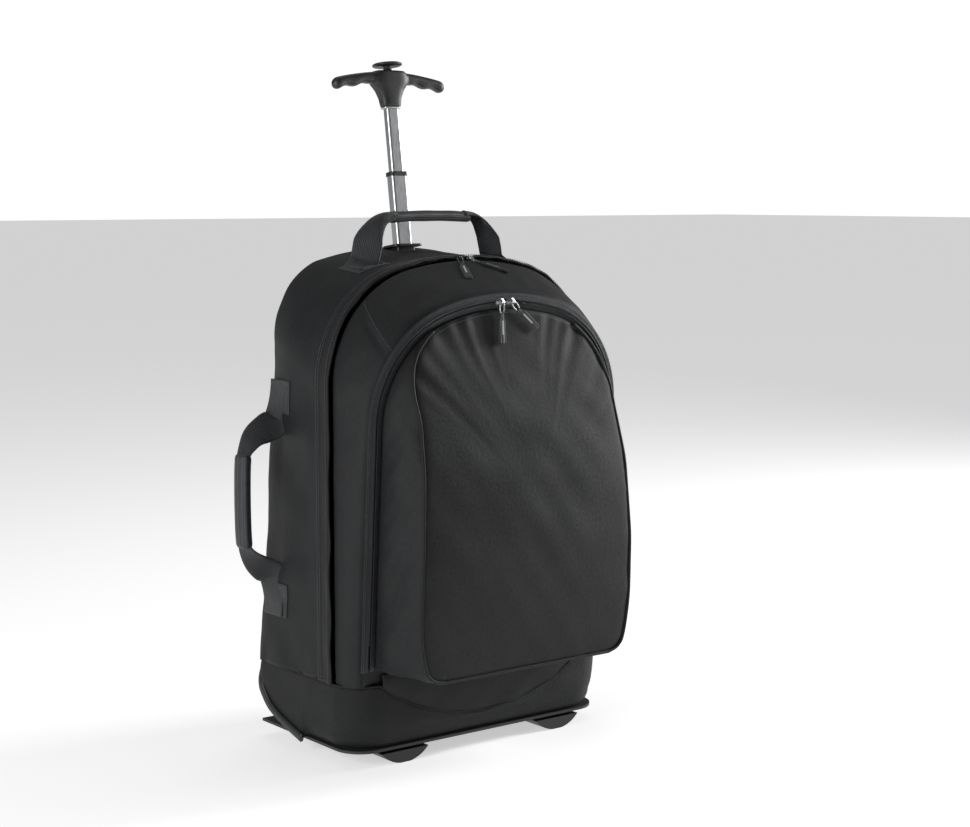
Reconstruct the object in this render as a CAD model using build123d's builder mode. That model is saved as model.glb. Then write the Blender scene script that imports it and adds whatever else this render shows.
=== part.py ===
from build123d import *
from math import atan, cos, pi, radians, sin, sqrt, tan
import os

os.makedirs("parts", exist_ok=True)

# Soft rolling flight bag: an arch-topped wheeled bag with one telescopic pole.
# Frame: +Z up, -Y to the front pocket, X across. Z = 0 is the floor under the feet and wheels.
# The side handle widens the bag on one side, so the bag's own middle plane stands at mid_x.
mid_x = 22.0

# Walls and clearances
cloth = 3.0           # padded cloth wall
skin = 1.5            # single cloth or webbing patch
open_gap = 0.6        # gap between panels that part when a zip is open
slide_fit = 0.08      # running clearance of the telescopic stages in their guides
pin_fit = 0.05        # running clearance of a wheel on its axle

# Base boot
base_z = 13.0         # underside of the boot
seam_z = 88.0         # seam between the boot and the bag walls
base_half = 174.0
front_y = -53.5
back_y = 134.5
front_corner = 35.0
back_corner = 18.0
scoop_half = base_half - 35.0    # width of the low scoop in the boot's front wall
scoop_z = 40.0

# Bag walls: arches are (low half width, spring z, spring half width, shoulder z, half, top z)
zip_arch = dict(low_half=base_half + 0.5, spring_z=402.0, spring_half=base_half + 0.5,
                shoulder_z=523.0, shoulder_half=78.0, top_z=531.5)
rear_arch = dict(low_half=base_half, spring_z=440.0, spring_half=base_half - 27.0,
                 shoulder_z=525.0, shoulder_half=100.0, top_z=540.0)
band_back_y = 12.0    # the gusset's straight band behind the zip
band_front_y = -13.5
flap_back_y = 10.0
flap_front_y = -24.0
flap_notch_half = 100.0
cover_edge_y = -21.0  # rear edge of the opening front section
cover_inset = 2.5     # the front section stands inside the flap

# Front panel and pocket, drawn on a plane that leans forward
lean = 4.7
lean_z = 92.0
lean_y = -51.5
pocket_arch = dict(low_half=base_half - 20.0, spring_z=273.0, spring_half=base_half - 17.0,
                   shoulder_z=386.0, shoulder_half=76.0, top_z=397.5)
zip_half = 9.0        # tape width on each side of the zip
zip_split = 1.0       # half gap between the two tapes
tape = 1.2
face_low_n = 80.0     # the pocket's depth at its bottom
face_low_s = 16.0
face_profile = ((face_low_s, face_low_n), (80.0, 76.0), (146.0, 73.0), (229.0, 60.0), (286.0, 42.0),
                (335.0, 17.0), (389.0, 7.0))   # the face's depth at heights up the leaning plane
face_arch = dict(low_half=base_half - 32.0, spring_z=240.0, spring_half=base_half - 36.0,
                 shoulder_z=375.0, shoulder_half=70.0, top_z=388.0)
piping = 3.0

# Trolley pole: every length is measured along the pole from its outlet
pole_tilt = 8.0
outlet_y = 97.5
outlet_z = 537.0
outer_size = (24.0, 17.0)
lower_size = (20.0, 13.0)
upper_size = (lower_size[0] - 4.0, lower_size[1] - 3.0)
outer_wall = 1.4
lower_wall = 1.0
upper_wall = 1.0
outer_foot = -512.0
lower_foot = -300.0
lower_top = 89.0
upper_foot = -130.0
neck_foot = 162.0
neck_length = 25.0
neck_size = (22.5, 14.5)
block_height = 16.0
block_size = (46.0, 22.0)
bar_half = 77.0
bar_drop = 9.0
bar_thick = 14.0
button_radius = 17.0
button_thick = 3.5
button_travel = 4.0
button_gap = 1.2
stem_radius = 5.0
socket_end = 4.0      # the upper stage ends this far below the neck's top
rod_radius = 2.0
block_length = 18.0   # catch block at the lower end of each stage

# Wheels, housings and feet
wheel_x = base_half - 58.0
wheel_y = 98.0
wheel_radius = 25.0
wheel_width = 20.0
tyre_thick = 5.0
axle_radius = 3.0
pocket_room = 3.0     # room around a wheel in its housing
housing_half = 30.0
housing_front_y = 65.0
housing_top_z = 60.0
housing_low_z = 4.0
housing_cut = (78.0, 60.0, 42.0)   # the rear lower corner is cut off from this y, this long and high
foot_x = 105.0
foot_y = -31.0
foot_radius = 41.0
foot_flat = 0.5
foot_depth = 40.0
screw_radius = 2.0
screw_head = 3.6
screw_apart = foot_radius / 2

# Handles
top_anchor_x = 85.0
top_handle_y = 46.5
top_pivot_z = 542.0
top_grip_z = 575.5
top_grip_half = 54.5
grip_radius = 6.5
side_handle_y = 95.0
side_pivot_x = -177.0
side_grip_x = -213.5
side_grip_z = (222.0, 323.0)
side_grip_size = (17.0, 26.0)
side_patches_z = ((144.0, 180.0), (365.0, 401.0))
leg_width = 14.0
leg_thick = 3.0
leg_start = 7.0       # a folding leg starts this far outside its pivot
webbing = 38.0


def front_plane(y):
    """Plane facing the front at depth y; its own axes are X and Z."""
    return Plane(origin=(mid_x, y, 0), x_dir=(1, 0, 0), z_dir=(0, -1, 0))


def level_plane(z):
    """Level plane at height z; its own axes are X and Y."""
    return Plane(origin=(mid_x, 0, z))


def side_plane(x):
    """Plane across the bag at x; its own axes are Y and Z."""
    return Plane(origin=(mid_x + x, 0, 0), x_dir=(0, 1, 0), z_dir=(1, 0, 0))


def lean_plane(n):
    """Plane parallel to the leaning front panel, n in front of it; its own axes are X and up."""
    out = (0, -cos(radians(lean)), -sin(radians(lean)))
    return Plane(origin=(mid_x, lean_y + n * out[1], lean_z + n * out[2]), x_dir=(1, 0, 0), z_dir=out)


def pole_plane(t):
    """Plane across the trolley pole, t along it from the outlet; its own axes are X and back."""
    along = (0, sin(radians(pole_tilt)), cos(radians(pole_tilt)))
    origin = (mid_x, outlet_y + t * along[1], outlet_z + t * along[2])
    return Plane(origin=origin, x_dir=(1, 0, 0), z_dir=along)


def arch(low_half, spring_z, spring_half, shoulder_z, shoulder_half, top_z, low_z, inset=0.0):
    """Sketch a closed arch: straight flanks, round shoulders and a shallow crown."""
    slope = 2 * atan((top_z - shoulder_z) / shoulder_half)
    low = (low_half - inset, low_z)
    spring = (spring_half - inset, spring_z)
    shoulder = (shoulder_half - inset * sin(slope), shoulder_z - inset * cos(slope))
    run = (shoulder[0] - spring[0], shoulder[1] - spring[1])
    chord = sqrt(run[0] ** 2 + run[1] ** 2)
    bulge = chord / 2 * tan((pi / 2 - slope) / 4)
    middle = (spring[0] + run[0] / 2 + bulge * run[1] / chord,
              spring[1] + run[1] / 2 - bulge * run[0] / chord)
    with BuildLine() as outline:
        Line((-low[0], low_z), low)
        Line(low, spring)
        ThreePointArc(spring, middle, shoulder)
        ThreePointArc(shoulder, (0, top_z - inset), (-shoulder[0], shoulder[1]))
        ThreePointArc((-shoulder[0], shoulder[1]), (-middle[0], middle[1]), (-spring[0], spring[1]))
        Line((-spring[0], spring[1]), (-low[0], low_z))
    make_face(outline.line.edges())


def keep(piece, name):
    """Label one finished piece and write it as its own node."""
    piece.part.label = name
    export_step(piece.part, f"parts/{name}.step")


# ---------------------------------------------------------------- base
# Cloth boot: a tray that wraps the bottom of the bag, scooped low at the front.
with BuildPart() as boot:
    with BuildSketch(level_plane(base_z)):
        with Locations((0, (front_y + back_y) / 2)):
            boot_outline = Rectangle(2 * base_half, back_y - front_y)
        fillet(boot_outline.vertices().group_by(Axis.Y)[0], front_corner)
        fillet(boot_outline.vertices().group_by(Axis.Y)[-1], back_corner)
    extrude(amount=seam_z - base_z)
    offset(amount=-cloth, openings=boot.faces().sort_by(Axis.Z)[-1])
    with BuildSketch(front_plane(front_y - 1)):
        with BuildLine():
            ThreePointArc((-scoop_half, seam_z), (0, scoop_z), (scoop_half, seam_z))
            Polyline((scoop_half, seam_z), (scoop_half, seam_z + 1), (-scoop_half, seam_z + 1),
                     (-scoop_half, seam_z))
        make_face()
    extrude(amount=-(front_corner + 1), mode=Mode.SUBTRACT)
    for side in (-1, 1):
        # Opening for the wheel housing in the floor, and for the wheel in the rear wall
        with BuildSketch(level_plane(base_z - 1)):
            with Locations((side * wheel_x, (housing_front_y + back_y - cloth) / 2)):
                Rectangle(2 * housing_half, back_y - cloth - housing_front_y)
        extrude(amount=cloth + 2, mode=Mode.SUBTRACT)
        with BuildSketch(level_plane(base_z - 1)):
            with Locations((side * wheel_x, back_y)):
                Rectangle(wheel_width + 2 * pocket_room, 4 * cloth)
        extrude(amount=wheel_radius + 1, mode=Mode.SUBTRACT)
    # Holes for the foot screws
    with BuildSketch(level_plane(base_z - 1)):
        for side in (-1, 1):
            with Locations((side * foot_x, foot_y)):
                with GridLocations(screw_apart, screw_apart, 2, 1):
                    Circle(screw_radius)
    extrude(amount=cloth + 2, mode=Mode.SUBTRACT)
keep(boot, "base_boot")

# Stiff board that lies on the boot's floor and carries the housings, feet and pole.
board_z = base_z + cloth
board_thick = 3.0
board_top = board_z + board_thick
with BuildPart() as base_board:
    with BuildSketch(level_plane(board_z)):
        with Locations((0, (front_y + back_y) / 2)):
            board_outline = Rectangle(2 * (base_half - cloth), back_y - front_y - 2 * cloth)
        fillet(board_outline.vertices().group_by(Axis.Y)[0], front_corner - cloth)
        fillet(board_outline.vertices().group_by(Axis.Y)[-1], back_corner - cloth)
        for side in (-1, 1):
            with Locations((side * wheel_x, (housing_front_y + back_y) / 2)):
                Rectangle(2 * (housing_half + 0.5), back_y - housing_front_y + 1, mode=Mode.SUBTRACT)
            with Locations((side * foot_x, foot_y)):
                with GridLocations(screw_apart, screw_apart, 2, 1):
                    Circle(screw_radius, mode=Mode.SUBTRACT)
    extrude(amount=board_thick)
keep(base_board, "base_board")

for side, name in ((-1, "left"), (1, "right")):
    # Half-round foot with a small flat to stand on
    with BuildPart() as foot:
        with BuildSketch(Plane(origin=(mid_x + side * foot_x, foot_y + foot_depth / 2, 0),
                               x_dir=(1, 0, 0), z_dir=(0, -1, 0))):
            with Locations((0, foot_radius - foot_flat)):
                Circle(foot_radius)
            with Locations((0, base_z / 2)):
                Rectangle(2 * foot_radius, base_z, mode=Mode.INTERSECT)
        extrude(amount=foot_depth)
        with BuildSketch(level_plane(base_z)):
            with Locations((side * foot_x, foot_y)):
                with GridLocations(screw_apart, screw_apart, 2, 1):
                    Circle(screw_radius)
        extrude(amount=-base_z / 2, mode=Mode.SUBTRACT)
    keep(foot, f"front_foot_{name}")

    # Moulded wheel housing: a block with a wheel bay open below and behind
    with BuildPart() as housing:
        housing_back_y = back_y - cloth
        housing_outer = side * wheel_x
        with BuildSketch(level_plane(housing_low_z)):
            with Locations((housing_outer, (housing_front_y + housing_back_y) / 2)):
                housing_outline = Rectangle(2 * housing_half - 0.2, housing_back_y - housing_front_y - 0.2)
            corners = housing_outline.vertices().group_by(Axis.Y)[-1].sort_by(Axis.X)
            fillet(corners[0] if side < 0 else corners[-1], back_corner - cloth)
        extrude(amount=housing_top_z - housing_low_z)
        with BuildSketch(side_plane(housing_outer)):
            with BuildLine():
                Polyline((housing_cut[0], housing_low_z), (housing_cut[0], housing_low_z - 1),
                         (housing_cut[0] + housing_cut[1], housing_low_z - 1),
                         (housing_cut[0] + housing_cut[1], housing_low_z + housing_cut[2]), close=True)
            make_face()
        extrude(amount=housing_half, both=True, mode=Mode.SUBTRACT)
        with BuildSketch(level_plane(housing_low_z - 1)):
            with Locations((housing_outer, wheel_y)):
                Rectangle(wheel_width + 2 * pocket_room, 2 * (wheel_radius + pocket_room))
            with Locations((housing_outer, housing_back_y)):
                Rectangle(wheel_width + 2 * pocket_room, 20)
        extrude(amount=wheel_radius * 2 + pocket_room - housing_low_z + 1, mode=Mode.SUBTRACT)
        with BuildSketch(side_plane(side * wheel_x)):
            with Locations((wheel_y, wheel_radius)):
                Circle(axle_radius)
        extrude(amount=housing_half, both=True, mode=Mode.SUBTRACT)
    keep(housing, f"wheel_housing_{name}")

    with BuildPart() as axle:
        with BuildSketch(side_plane(side * wheel_x)):
            with Locations((wheel_y, wheel_radius)):
                Circle(axle_radius)
        extrude(amount=housing_half - 2, both=True)
    keep(axle, f"axle_{name}")

    rim_radius = wheel_radius - tyre_thick
    with BuildPart() as hub:
        with BuildSketch(side_plane(side * wheel_x)):
            with Locations((wheel_y, wheel_radius)):
                Circle(rim_radius)
                Circle(axle_radius + pin_fit, mode=Mode.SUBTRACT)
        extrude(amount=wheel_width / 2, both=True)
    keep(hub, f"wheel_{name}")

    with BuildPart() as tyre:
        with BuildSketch(side_plane(side * wheel_x)):
            with Locations((wheel_y, wheel_radius)):
                Circle(wheel_radius)
                Circle(rim_radius, mode=Mode.SUBTRACT)
        extrude(amount=wheel_width / 2, both=True)
        fillet(tyre.edges().filter_by(GeomType.CIRCLE).sort_by(SortBy.RADIUS)[-2:], 2.5)
    keep(tyre, f"tyre_{name}")

# Four screws that hold the two feet to the base board
with BuildPart() as foot_screws:
    for side in (-1, 1):
        with BuildSketch(level_plane(base_z / 2)):
            with Locations((side * foot_x, foot_y)):
                with GridLocations(screw_apart, screw_apart, 2, 1):
                    Circle(screw_radius)
        extrude(amount=board_top - base_z / 2)
        with BuildSketch(level_plane(board_top)):
            with Locations((side * foot_x, foot_y)):
                with GridLocations(screw_apart, screw_apart, 2, 1):
                    Circle(screw_head)
        extrude(amount=2)
keep(foot_screws, "foot_screws")

# ---------------------------------------------------------------- rear section
def gusset_solid(inset):
    """Add the rear section's solid shape, drawn in from its outside by inset."""
    with BuildSketch(front_plane(band_back_y)) as band:
        arch(**zip_arch, low_z=seam_z, inset=inset)
    extrude(band.sketch, amount=band_back_y - band_front_y)
    with BuildSketch(front_plane(back_y - cloth)) as rear:
        arch(**rear_arch, low_z=seam_z, inset=inset)
    loft([band.sketch, rear.sketch], ruled=True)


with BuildPart() as gusset_core:
    gusset_solid(cloth)
with BuildPart() as gusset_skin:
    gusset_solid(-skin)
with BuildPart() as gusset_body:
    gusset_solid(0)

with BuildPart() as rear_gusset:
    gusset_solid(0)
    add(gusset_core.part, mode=Mode.SUBTRACT)
    # The pole leaves through the top
    with BuildSketch(pole_plane(-20)):
        Rectangle(*outer_size)
    extrude(amount=60, mode=Mode.SUBTRACT)
keep(rear_gusset, "rear_gusset")

with BuildPart() as back_panel:
    with BuildSketch(front_plane(back_y)):
        arch(**rear_arch, low_z=seam_z)
    extrude(amount=cloth)
keep(back_panel, "back_panel")

# Stiff sheet that lies inside the back panel
with BuildPart() as back_board:
    with BuildSketch(front_plane(back_y - cloth)):
        arch(**rear_arch, low_z=seam_z, inset=4 * cloth)
    extrude(amount=2)
keep(back_board, "back_board")

# Storm flap: an arched strip, sewn down behind the zip and free in front
with BuildPart() as zip_flap:
    with BuildSketch(front_plane(flap_back_y)):
        arch(**zip_arch, low_z=seam_z, inset=-skin)
    extrude(amount=flap_back_y - flap_front_y)
    with BuildSketch(front_plane(flap_back_y + 1)):
        arch(**zip_arch, low_z=seam_z - 1)
    extrude(amount=flap_back_y - flap_front_y + 2, mode=Mode.SUBTRACT)
    # Over the crown the flap is short, where the sliders park
    with BuildSketch(level_plane(zip_arch["top_z"] - 40)):
        with Locations((0, flap_front_y)):
            Rectangle(2 * flap_notch_half, 2 * (band_front_y - flap_front_y))
    extrude(amount=60, mode=Mode.SUBTRACT)
keep(zip_flap, "zip_flap")

tape_inset = 6.0
zip_y = (band_front_y + cover_edge_y) / 2
with BuildPart() as rear_tape:
    with BuildSketch(front_plane(band_front_y)):
        arch(**zip_arch, low_z=seam_z, inset=tape_inset)
    extrude(amount=band_front_y - zip_y - open_gap / 2)
    with BuildSketch(front_plane(band_front_y + 1)):
        arch(**zip_arch, low_z=seam_z - 1, inset=tape_inset + tape)
    extrude(amount=10, mode=Mode.SUBTRACT)
keep(rear_tape, "main_zip_rear_tape")

# ---------------------------------------------------------------- opening front section
cover_low_z = seam_z + open_gap
cover_low_s = (cover_low_z - lean_z) / cos(radians(lean))


def cover_solid(inset):
    """Add the front section's solid shape, drawn in from its outside by inset."""
    with BuildSketch(front_plane(cover_edge_y)) as rear:
        arch(**zip_arch, low_z=cover_low_z, inset=cover_inset + inset)
    with BuildSketch(lean_plane(0)) as front:
        arch(**pocket_arch, low_z=cover_low_s, inset=inset - zip_half)
    loft([rear.sketch, front.sketch], ruled=True)


with BuildPart() as cover_core:
    cover_solid(cloth)
with BuildPart() as cover_gusset:
    cover_solid(0)
    add(cover_core.part, mode=Mode.SUBTRACT)
keep(cover_gusset, "cover_gusset")

with BuildPart() as cover_tape:
    with BuildSketch(front_plane(zip_y - open_gap / 2)):
        arch(**zip_arch, low_z=cover_low_z, inset=tape_inset)
    extrude(amount=zip_y - open_gap / 2 - cover_edge_y)
    with BuildSketch(front_plane(zip_y + 1)):
        arch(**zip_arch, low_z=cover_low_z - 1, inset=tape_inset + tape)
    extrude(amount=10, mode=Mode.SUBTRACT)
keep(cover_tape, "main_zip_front_tape")

with BuildPart() as front_panel:
    with BuildSketch(lean_plane(0)):
        arch(**pocket_arch, low_z=cover_low_s, inset=-zip_half)
    extrude(amount=tape)
keep(front_panel, "front_panel")

# Low panel that fills the scoop in the boot below the pocket
with BuildPart() as lower_panel:
    with BuildSketch(front_plane(front_y + cloth)):
        with BuildLine():
            half = scoop_half - 4
            high = cover_low_z - tape * tan(radians(lean)) - 0.1
            ThreePointArc((-half, high), (0, scoop_z + open_gap), (half, high))
            Line((half, high), (-half, high))
        make_face()
    extrude(amount=cloth)
keep(lower_panel, "lower_panel")

with BuildPart() as outer_tape:
    with BuildSketch(lean_plane(tape)):
        arch(**pocket_arch, low_z=face_low_s, inset=-zip_half + 0.5)
    extrude(amount=tape)
    with BuildSketch(lean_plane(0)):
        arch(**pocket_arch, low_z=face_low_s - 1, inset=-zip_split)
    extrude(amount=4 * tape, mode=Mode.SUBTRACT)
keep(outer_tape, "pocket_zip_outer_tape")

# ---------------------------------------------------------------- pocket
pocket_n = tape + 0.4
with BuildPart() as inner_tape:
    with BuildSketch(lean_plane(pocket_n)):
        arch(**pocket_arch, low_z=face_low_s, inset=zip_split)
    extrude(amount=tape)
    with BuildSketch(lean_plane(0)):
        arch(**pocket_arch, low_z=face_low_s - 1, inset=zip_half)
    extrude(amount=4 * tape, mode=Mode.SUBTRACT)
keep(inner_tape, "pocket_zip_inner_tape")


def pocket_solid(inset, depth):
    """Add the pocket's solid shape, drawn in all round by inset and from its face by depth."""
    with BuildSketch(lean_plane(pocket_n + tape)) as root:
        arch(**pocket_arch, low_z=face_low_s + inset, inset=zip_half / 2 + inset)
    with BuildSketch(lean_plane(face_low_n + cloth)) as front:
        arch(**face_arch, low_z=face_low_s + inset, inset=inset)
    loft([root.sketch, front.sketch], ruled=True)
    side_lean = Plane(origin=lean_plane(0).origin, x_dir=lean_plane(0).y_dir, z_dir=(1, 0, 0))
    with BuildSketch(side_lean) as profile:
        with BuildLine() as outline:
            front_line = Spline(*[(s, n - depth) for s, n in face_profile])
            Polyline(front_line @ 1, (face_profile[-1][0], 0), (face_profile[0][0], 0), front_line @ 0)
        make_face(outline.line.edges())
    extrude(profile.sketch, amount=base_half + mid_x, both=True, mode=Mode.INTERSECT)


with BuildPart() as pocket_inside:
    pocket_solid(-1, cloth)
with BuildPart() as pocket_core:
    pocket_solid(cloth, -cloth)
with BuildPart() as pocket_gusset:
    pocket_solid(0, cloth)
    add(pocket_core.part, mode=Mode.SUBTRACT)
keep(pocket_gusset, "pocket_gusset")

with BuildPart() as pocket_face:
    pocket_solid(piping, 0)
    add(pocket_inside.part, mode=Mode.SUBTRACT)
keep(pocket_face, "pocket_face")

with BuildPart() as piping_core:
    pocket_solid(piping, -cloth)
with BuildPart() as pocket_piping:
    pocket_solid(0, 0)
    add(piping_core.part, mode=Mode.SUBTRACT)
    add(pocket_inside.part, mode=Mode.SUBTRACT)
keep(pocket_piping, "pocket_piping")

# ---------------------------------------------------------------- zip sliders and pulls
slider_length = 11.0
slider_width = 6.2
slider_height = 4.5
slider_lift = 1.6     # height of a slider's shoe above its tape
slider_gap = 3.0      # gap between a pair of parked sliders
pull_width = 9.0
pull_thick = 1.6
pull_length = 38.0
pull_lift = 2.0       # a pull's hinge stands this far above its slider's shoe
main_top_z = zip_arch["top_z"] - tape_inset + slider_lift
main_radius = (zip_arch["shoulder_half"] ** 2 / (zip_arch["top_z"] - zip_arch["shoulder_z"])
               + zip_arch["top_z"] - zip_arch["shoulder_z"]) / 2
main_fall = atan((zip_arch["top_z"] - cover_inset - lean_z - pocket_arch["top_z"] - zip_half)
                 / (cover_edge_y - lean_plane(0).from_local_coords((0, pocket_arch["top_z"], 0)).Y))
main_pull_z = main_top_z + slider_height + pull_lift
park_x = (slider_length + slider_gap) / 2
for side, name in ((-1, "left"), (1, "right")):
    with BuildPart() as main_slider:
        with BuildSketch(level_plane(main_top_z)):
            with Locations((side * park_x, zip_y)):
                Rectangle(slider_length, slider_width)
        extrude(amount=slider_height)
        fillet(main_slider.edges().filter_by(Axis.Z), 1.5)
        with BuildSketch(side_plane(side * park_x)):
            with Locations((zip_y, main_pull_z - pull_lift)):
                Rectangle(4.0, 2 * pull_lift)
        extrude(amount=1.5, both=True)
    keep(main_slider, f"main_slider_{name}")

    # Webbing pull, lying forward down the slope of the bag's top
    with BuildPart() as main_pull:
        fall = (0, -cos(main_fall), -sin(main_fall))
        up = (0, -sin(main_fall), cos(main_fall))
        with BuildSketch(Plane(origin=(mid_x + side * park_x, zip_y, main_pull_z + 0.5),
                               x_dir=(1, 0, 0), z_dir=up)):
            with Locations((0, -3.5 - pull_length / 2)):
                RectangleRounded(pull_width, pull_length, 2)
        extrude(amount=pull_thick)
    keep(main_pull, f"main_pull_{name}")

pocket_shoe_n = pocket_n + tape + 0.4
# The pocket's pulls lie along the upper part of its face
pull_turn = atan((face_profile[-2][1] - face_profile[-1][1]) / (face_profile[-1][0] - face_profile[-2][0]))
pocket_pull_n = pocket_shoe_n + slider_height + pull_lift
for side, name in ((-1, "left"), (1, "right")):
    with BuildPart() as pocket_slider:
        with BuildSketch(lean_plane(pocket_shoe_n)):
            with Locations((side * park_x, pocket_arch["top_z"])):
                Rectangle(slider_length, slider_width)
        extrude(amount=slider_height)
        with BuildSketch(lean_plane(pocket_shoe_n + slider_height - 1)):
            with Locations((side * park_x, pocket_arch["top_z"])):
                Rectangle(3.0, 4.0)
        extrude(amount=1 + pull_lift)
    keep(pocket_slider, f"pocket_slider_{name}")

    # Webbing pull, hanging over the pocket's face
    with BuildPart() as pocket_pull:
        root = lean_plane(pocket_pull_n + 0.5).from_local_coords((side * park_x, pocket_arch["top_z"], 0))
        pull_out = (0, -cos(radians(lean) - pull_turn), -sin(radians(lean) - pull_turn))
        with BuildSketch(Plane(origin=root, x_dir=(1, 0, 0), z_dir=pull_out)):
            with Locations((0, -3.5 - pull_length / 2)):
                RectangleRounded(pull_width, pull_length, 2)
        extrude(amount=pull_thick)
    keep(pocket_pull, f"pocket_pull_{name}")

# ---------------------------------------------------------------- handles
# Sewn patches on the bag's crown, one under each leg of the top handle
with BuildPart() as top_patches:
    add(gusset_skin.part)
    add(gusset_body.part, mode=Mode.SUBTRACT)
    with BuildSketch(level_plane(zip_arch["shoulder_z"] - 40)):
        for side in (-1, 1):
            with Locations((side * top_anchor_x, top_handle_y)):
                Rectangle(webbing, webbing)
    extrude(amount=80, mode=Mode.INTERSECT)
keep(top_patches, "top_handle_patches")

leg_half = leg_thick / 2
with BuildPart() as top_legs:
    for side in (-1, 1):
        with BuildSketch(front_plane(top_handle_y + leg_width / 2)):
            with BuildLine():
                low = (side * top_anchor_x, top_pivot_z + leg_start)
                knee = (side * (top_grip_half + 14), top_grip_z - 2)
                tip = (side * (top_grip_half - 4), top_grip_z)
                Polyline((low[0] - leg_half, low[1]), (knee[0] - leg_half, knee[1] - leg_half),
                         (tip[0], tip[1] - leg_half), (tip[0], tip[1] + leg_half),
                         (knee[0] + leg_half, knee[1] + leg_half), (low[0] + leg_half, low[1]),
                         close=True)
            make_face()
        extrude(amount=leg_width)
    with BuildSketch(side_plane(top_grip_half)):
        with Locations((top_handle_y, top_grip_z)):
            Circle(grip_radius)
    extrude(amount=-2 * top_grip_half, mode=Mode.SUBTRACT)
keep(top_legs, "top_handle_webbing")

with BuildPart() as top_grip:
    with BuildSketch(side_plane(top_grip_half)):
        with Locations((top_handle_y, top_grip_z)):
            Circle(grip_radius)
    extrude(amount=-2 * top_grip_half)
keep(top_grip, "top_handle_grip")

# Sewn patches on the side, one at each end of the side handle
with BuildPart() as side_patches:
    add(gusset_skin.part)
    add(gusset_body.part, mode=Mode.SUBTRACT)
    with BuildSketch(side_plane(-base_half - 10)):
        for low_z, high_z in side_patches_z:
            with Locations((side_handle_y, (low_z + high_z) / 2)):
                Rectangle(webbing, high_z - low_z)
    extrude(amount=base_half / 2, mode=Mode.INTERSECT)
keep(side_patches, "side_handle_patches")

with BuildPart() as side_legs:
    for patch_z, grip_z in ((side_patches_z[0][1], side_grip_z[0]), (side_patches_z[1][0], side_grip_z[1])):
        with BuildSketch(front_plane(side_handle_y + leg_width / 2)):
            with BuildLine():
                root = (side_pivot_x - leg_start, patch_z)
                tip = (side_grip_x, grip_z)
                Polyline((root[0] - leg_half, root[1]), (root[0] + leg_half, root[1]),
                         (tip[0] + leg_half, tip[1]), (tip[0] - leg_half, tip[1]), close=True)
            make_face()
        extrude(amount=leg_width)
keep(side_legs, "side_handle_webbing")

with BuildPart() as side_grip:
    with BuildSketch(level_plane(side_grip_z[0])):
        with Locations((side_grip_x, side_handle_y)):
            RectangleRounded(*side_grip_size, 6)
    extrude(amount=side_grip_z[1] - side_grip_z[0])
keep(side_grip, "side_handle_grip")

# ---------------------------------------------------------------- trolley pole
def tube(size, wall, low_t, high_t):
    """Add a rectangular tube along the pole."""
    with BuildSketch(pole_plane(low_t)) as section:
        RectangleRounded(*size, 3)
        RectangleRounded(size[0] - 2 * wall, size[1] - 2 * wall, 3 - wall, mode=Mode.SUBTRACT)
    extrude(section.sketch, amount=high_t - low_t)


with BuildPart() as outer_tube:
    tube(outer_size, outer_wall, outer_foot, -8)
keep(outer_tube, "outer_tube")

# Moulded outlet: a rim on the bag's top and a throat that guides the lower stage
with BuildPart() as outlet:
    with BuildSketch(pole_plane(-8)):
        RectangleRounded(outer_size[0], outer_size[1], 3)
    extrude(amount=12)
    with BuildSketch(pole_plane(4)):
        RectangleRounded(outer_size[0] + 14, outer_size[1] + 12, 6)
    extrude(amount=2.5)
    with BuildSketch(pole_plane(-9)):
        RectangleRounded(lower_size[0] + 2 * slide_fit, lower_size[1] + 2 * slide_fit, 3 + slide_fit)
    extrude(amount=17, mode=Mode.SUBTRACT)
keep(outlet, "pole_outlet")

# Foot block on the base board that holds the outer tube's lower end
foot_block_top = 44.0
foot_centre = pole_plane(outer_foot).origin
with BuildPart() as pole_foot:
    with BuildSketch(level_plane(board_top)):
        with Locations((0, foot_centre.Y)):
            RectangleRounded(70, 44, 6)
    extrude(amount=4)
    with BuildSketch(level_plane(board_top)):
        with Locations((0, foot_centre.Y)):
            RectangleRounded(outer_size[0] + 12, 38, 6)
    extrude(amount=foot_block_top - board_top)
    with BuildSketch(pole_plane(outer_foot)):
        RectangleRounded(*outer_size, 3)
    extrude(amount=60, mode=Mode.SUBTRACT)
    with BuildSketch(level_plane(board_top)):
        with Locations((0, foot_centre.Y)):
            with GridLocations(58, 30, 2, 2):
                Circle(screw_radius)
    extrude(amount=4, mode=Mode.SUBTRACT)
keep(pole_foot, "pole_foot")

with BuildPart() as pole_screws:
    with BuildSketch(level_plane(board_top)):
        with Locations((0, foot_centre.Y)):
            with GridLocations(58, 30, 2, 2):
                Circle(screw_radius)
    extrude(amount=4)
    with BuildSketch(level_plane(board_top + 4)):
        with Locations((0, foot_centre.Y)):
            with GridLocations(58, 30, 2, 2):
                Circle(screw_head)
    extrude(amount=2)
keep(pole_screws, "pole_screws")

with BuildPart() as lower_stage:
    tube(lower_size, lower_wall, lower_foot, lower_top - 5)
keep(lower_stage, "lower_stage")

collar_room = 2 * slide_fit
with BuildPart() as collar:
    with BuildSketch(pole_plane(lower_top - 17)):
        RectangleRounded(lower_size[0] - 2 * lower_wall, lower_size[1] - 2 * lower_wall, 3 - lower_wall)
    extrude(amount=12)
    with BuildSketch(pole_plane(lower_top - 5)):
        RectangleRounded(lower_size[0] + 1.6, lower_size[1] + 1.6, 3)
    extrude(amount=5)
    fillet(collar.faces().sort_by(Axis.Z)[-1].edges(), 1.5)
    with BuildSketch(pole_plane(lower_top - 18)):
        RectangleRounded(upper_size[0] + collar_room, upper_size[1] + collar_room, 3 + slide_fit)
    extrude(amount=20, mode=Mode.SUBTRACT)
keep(collar, "stage_collar")

with BuildPart() as upper_stage:
    tube(upper_size, upper_wall, upper_foot, neck_foot + neck_length - socket_end)
keep(upper_stage, "upper_stage")

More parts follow.
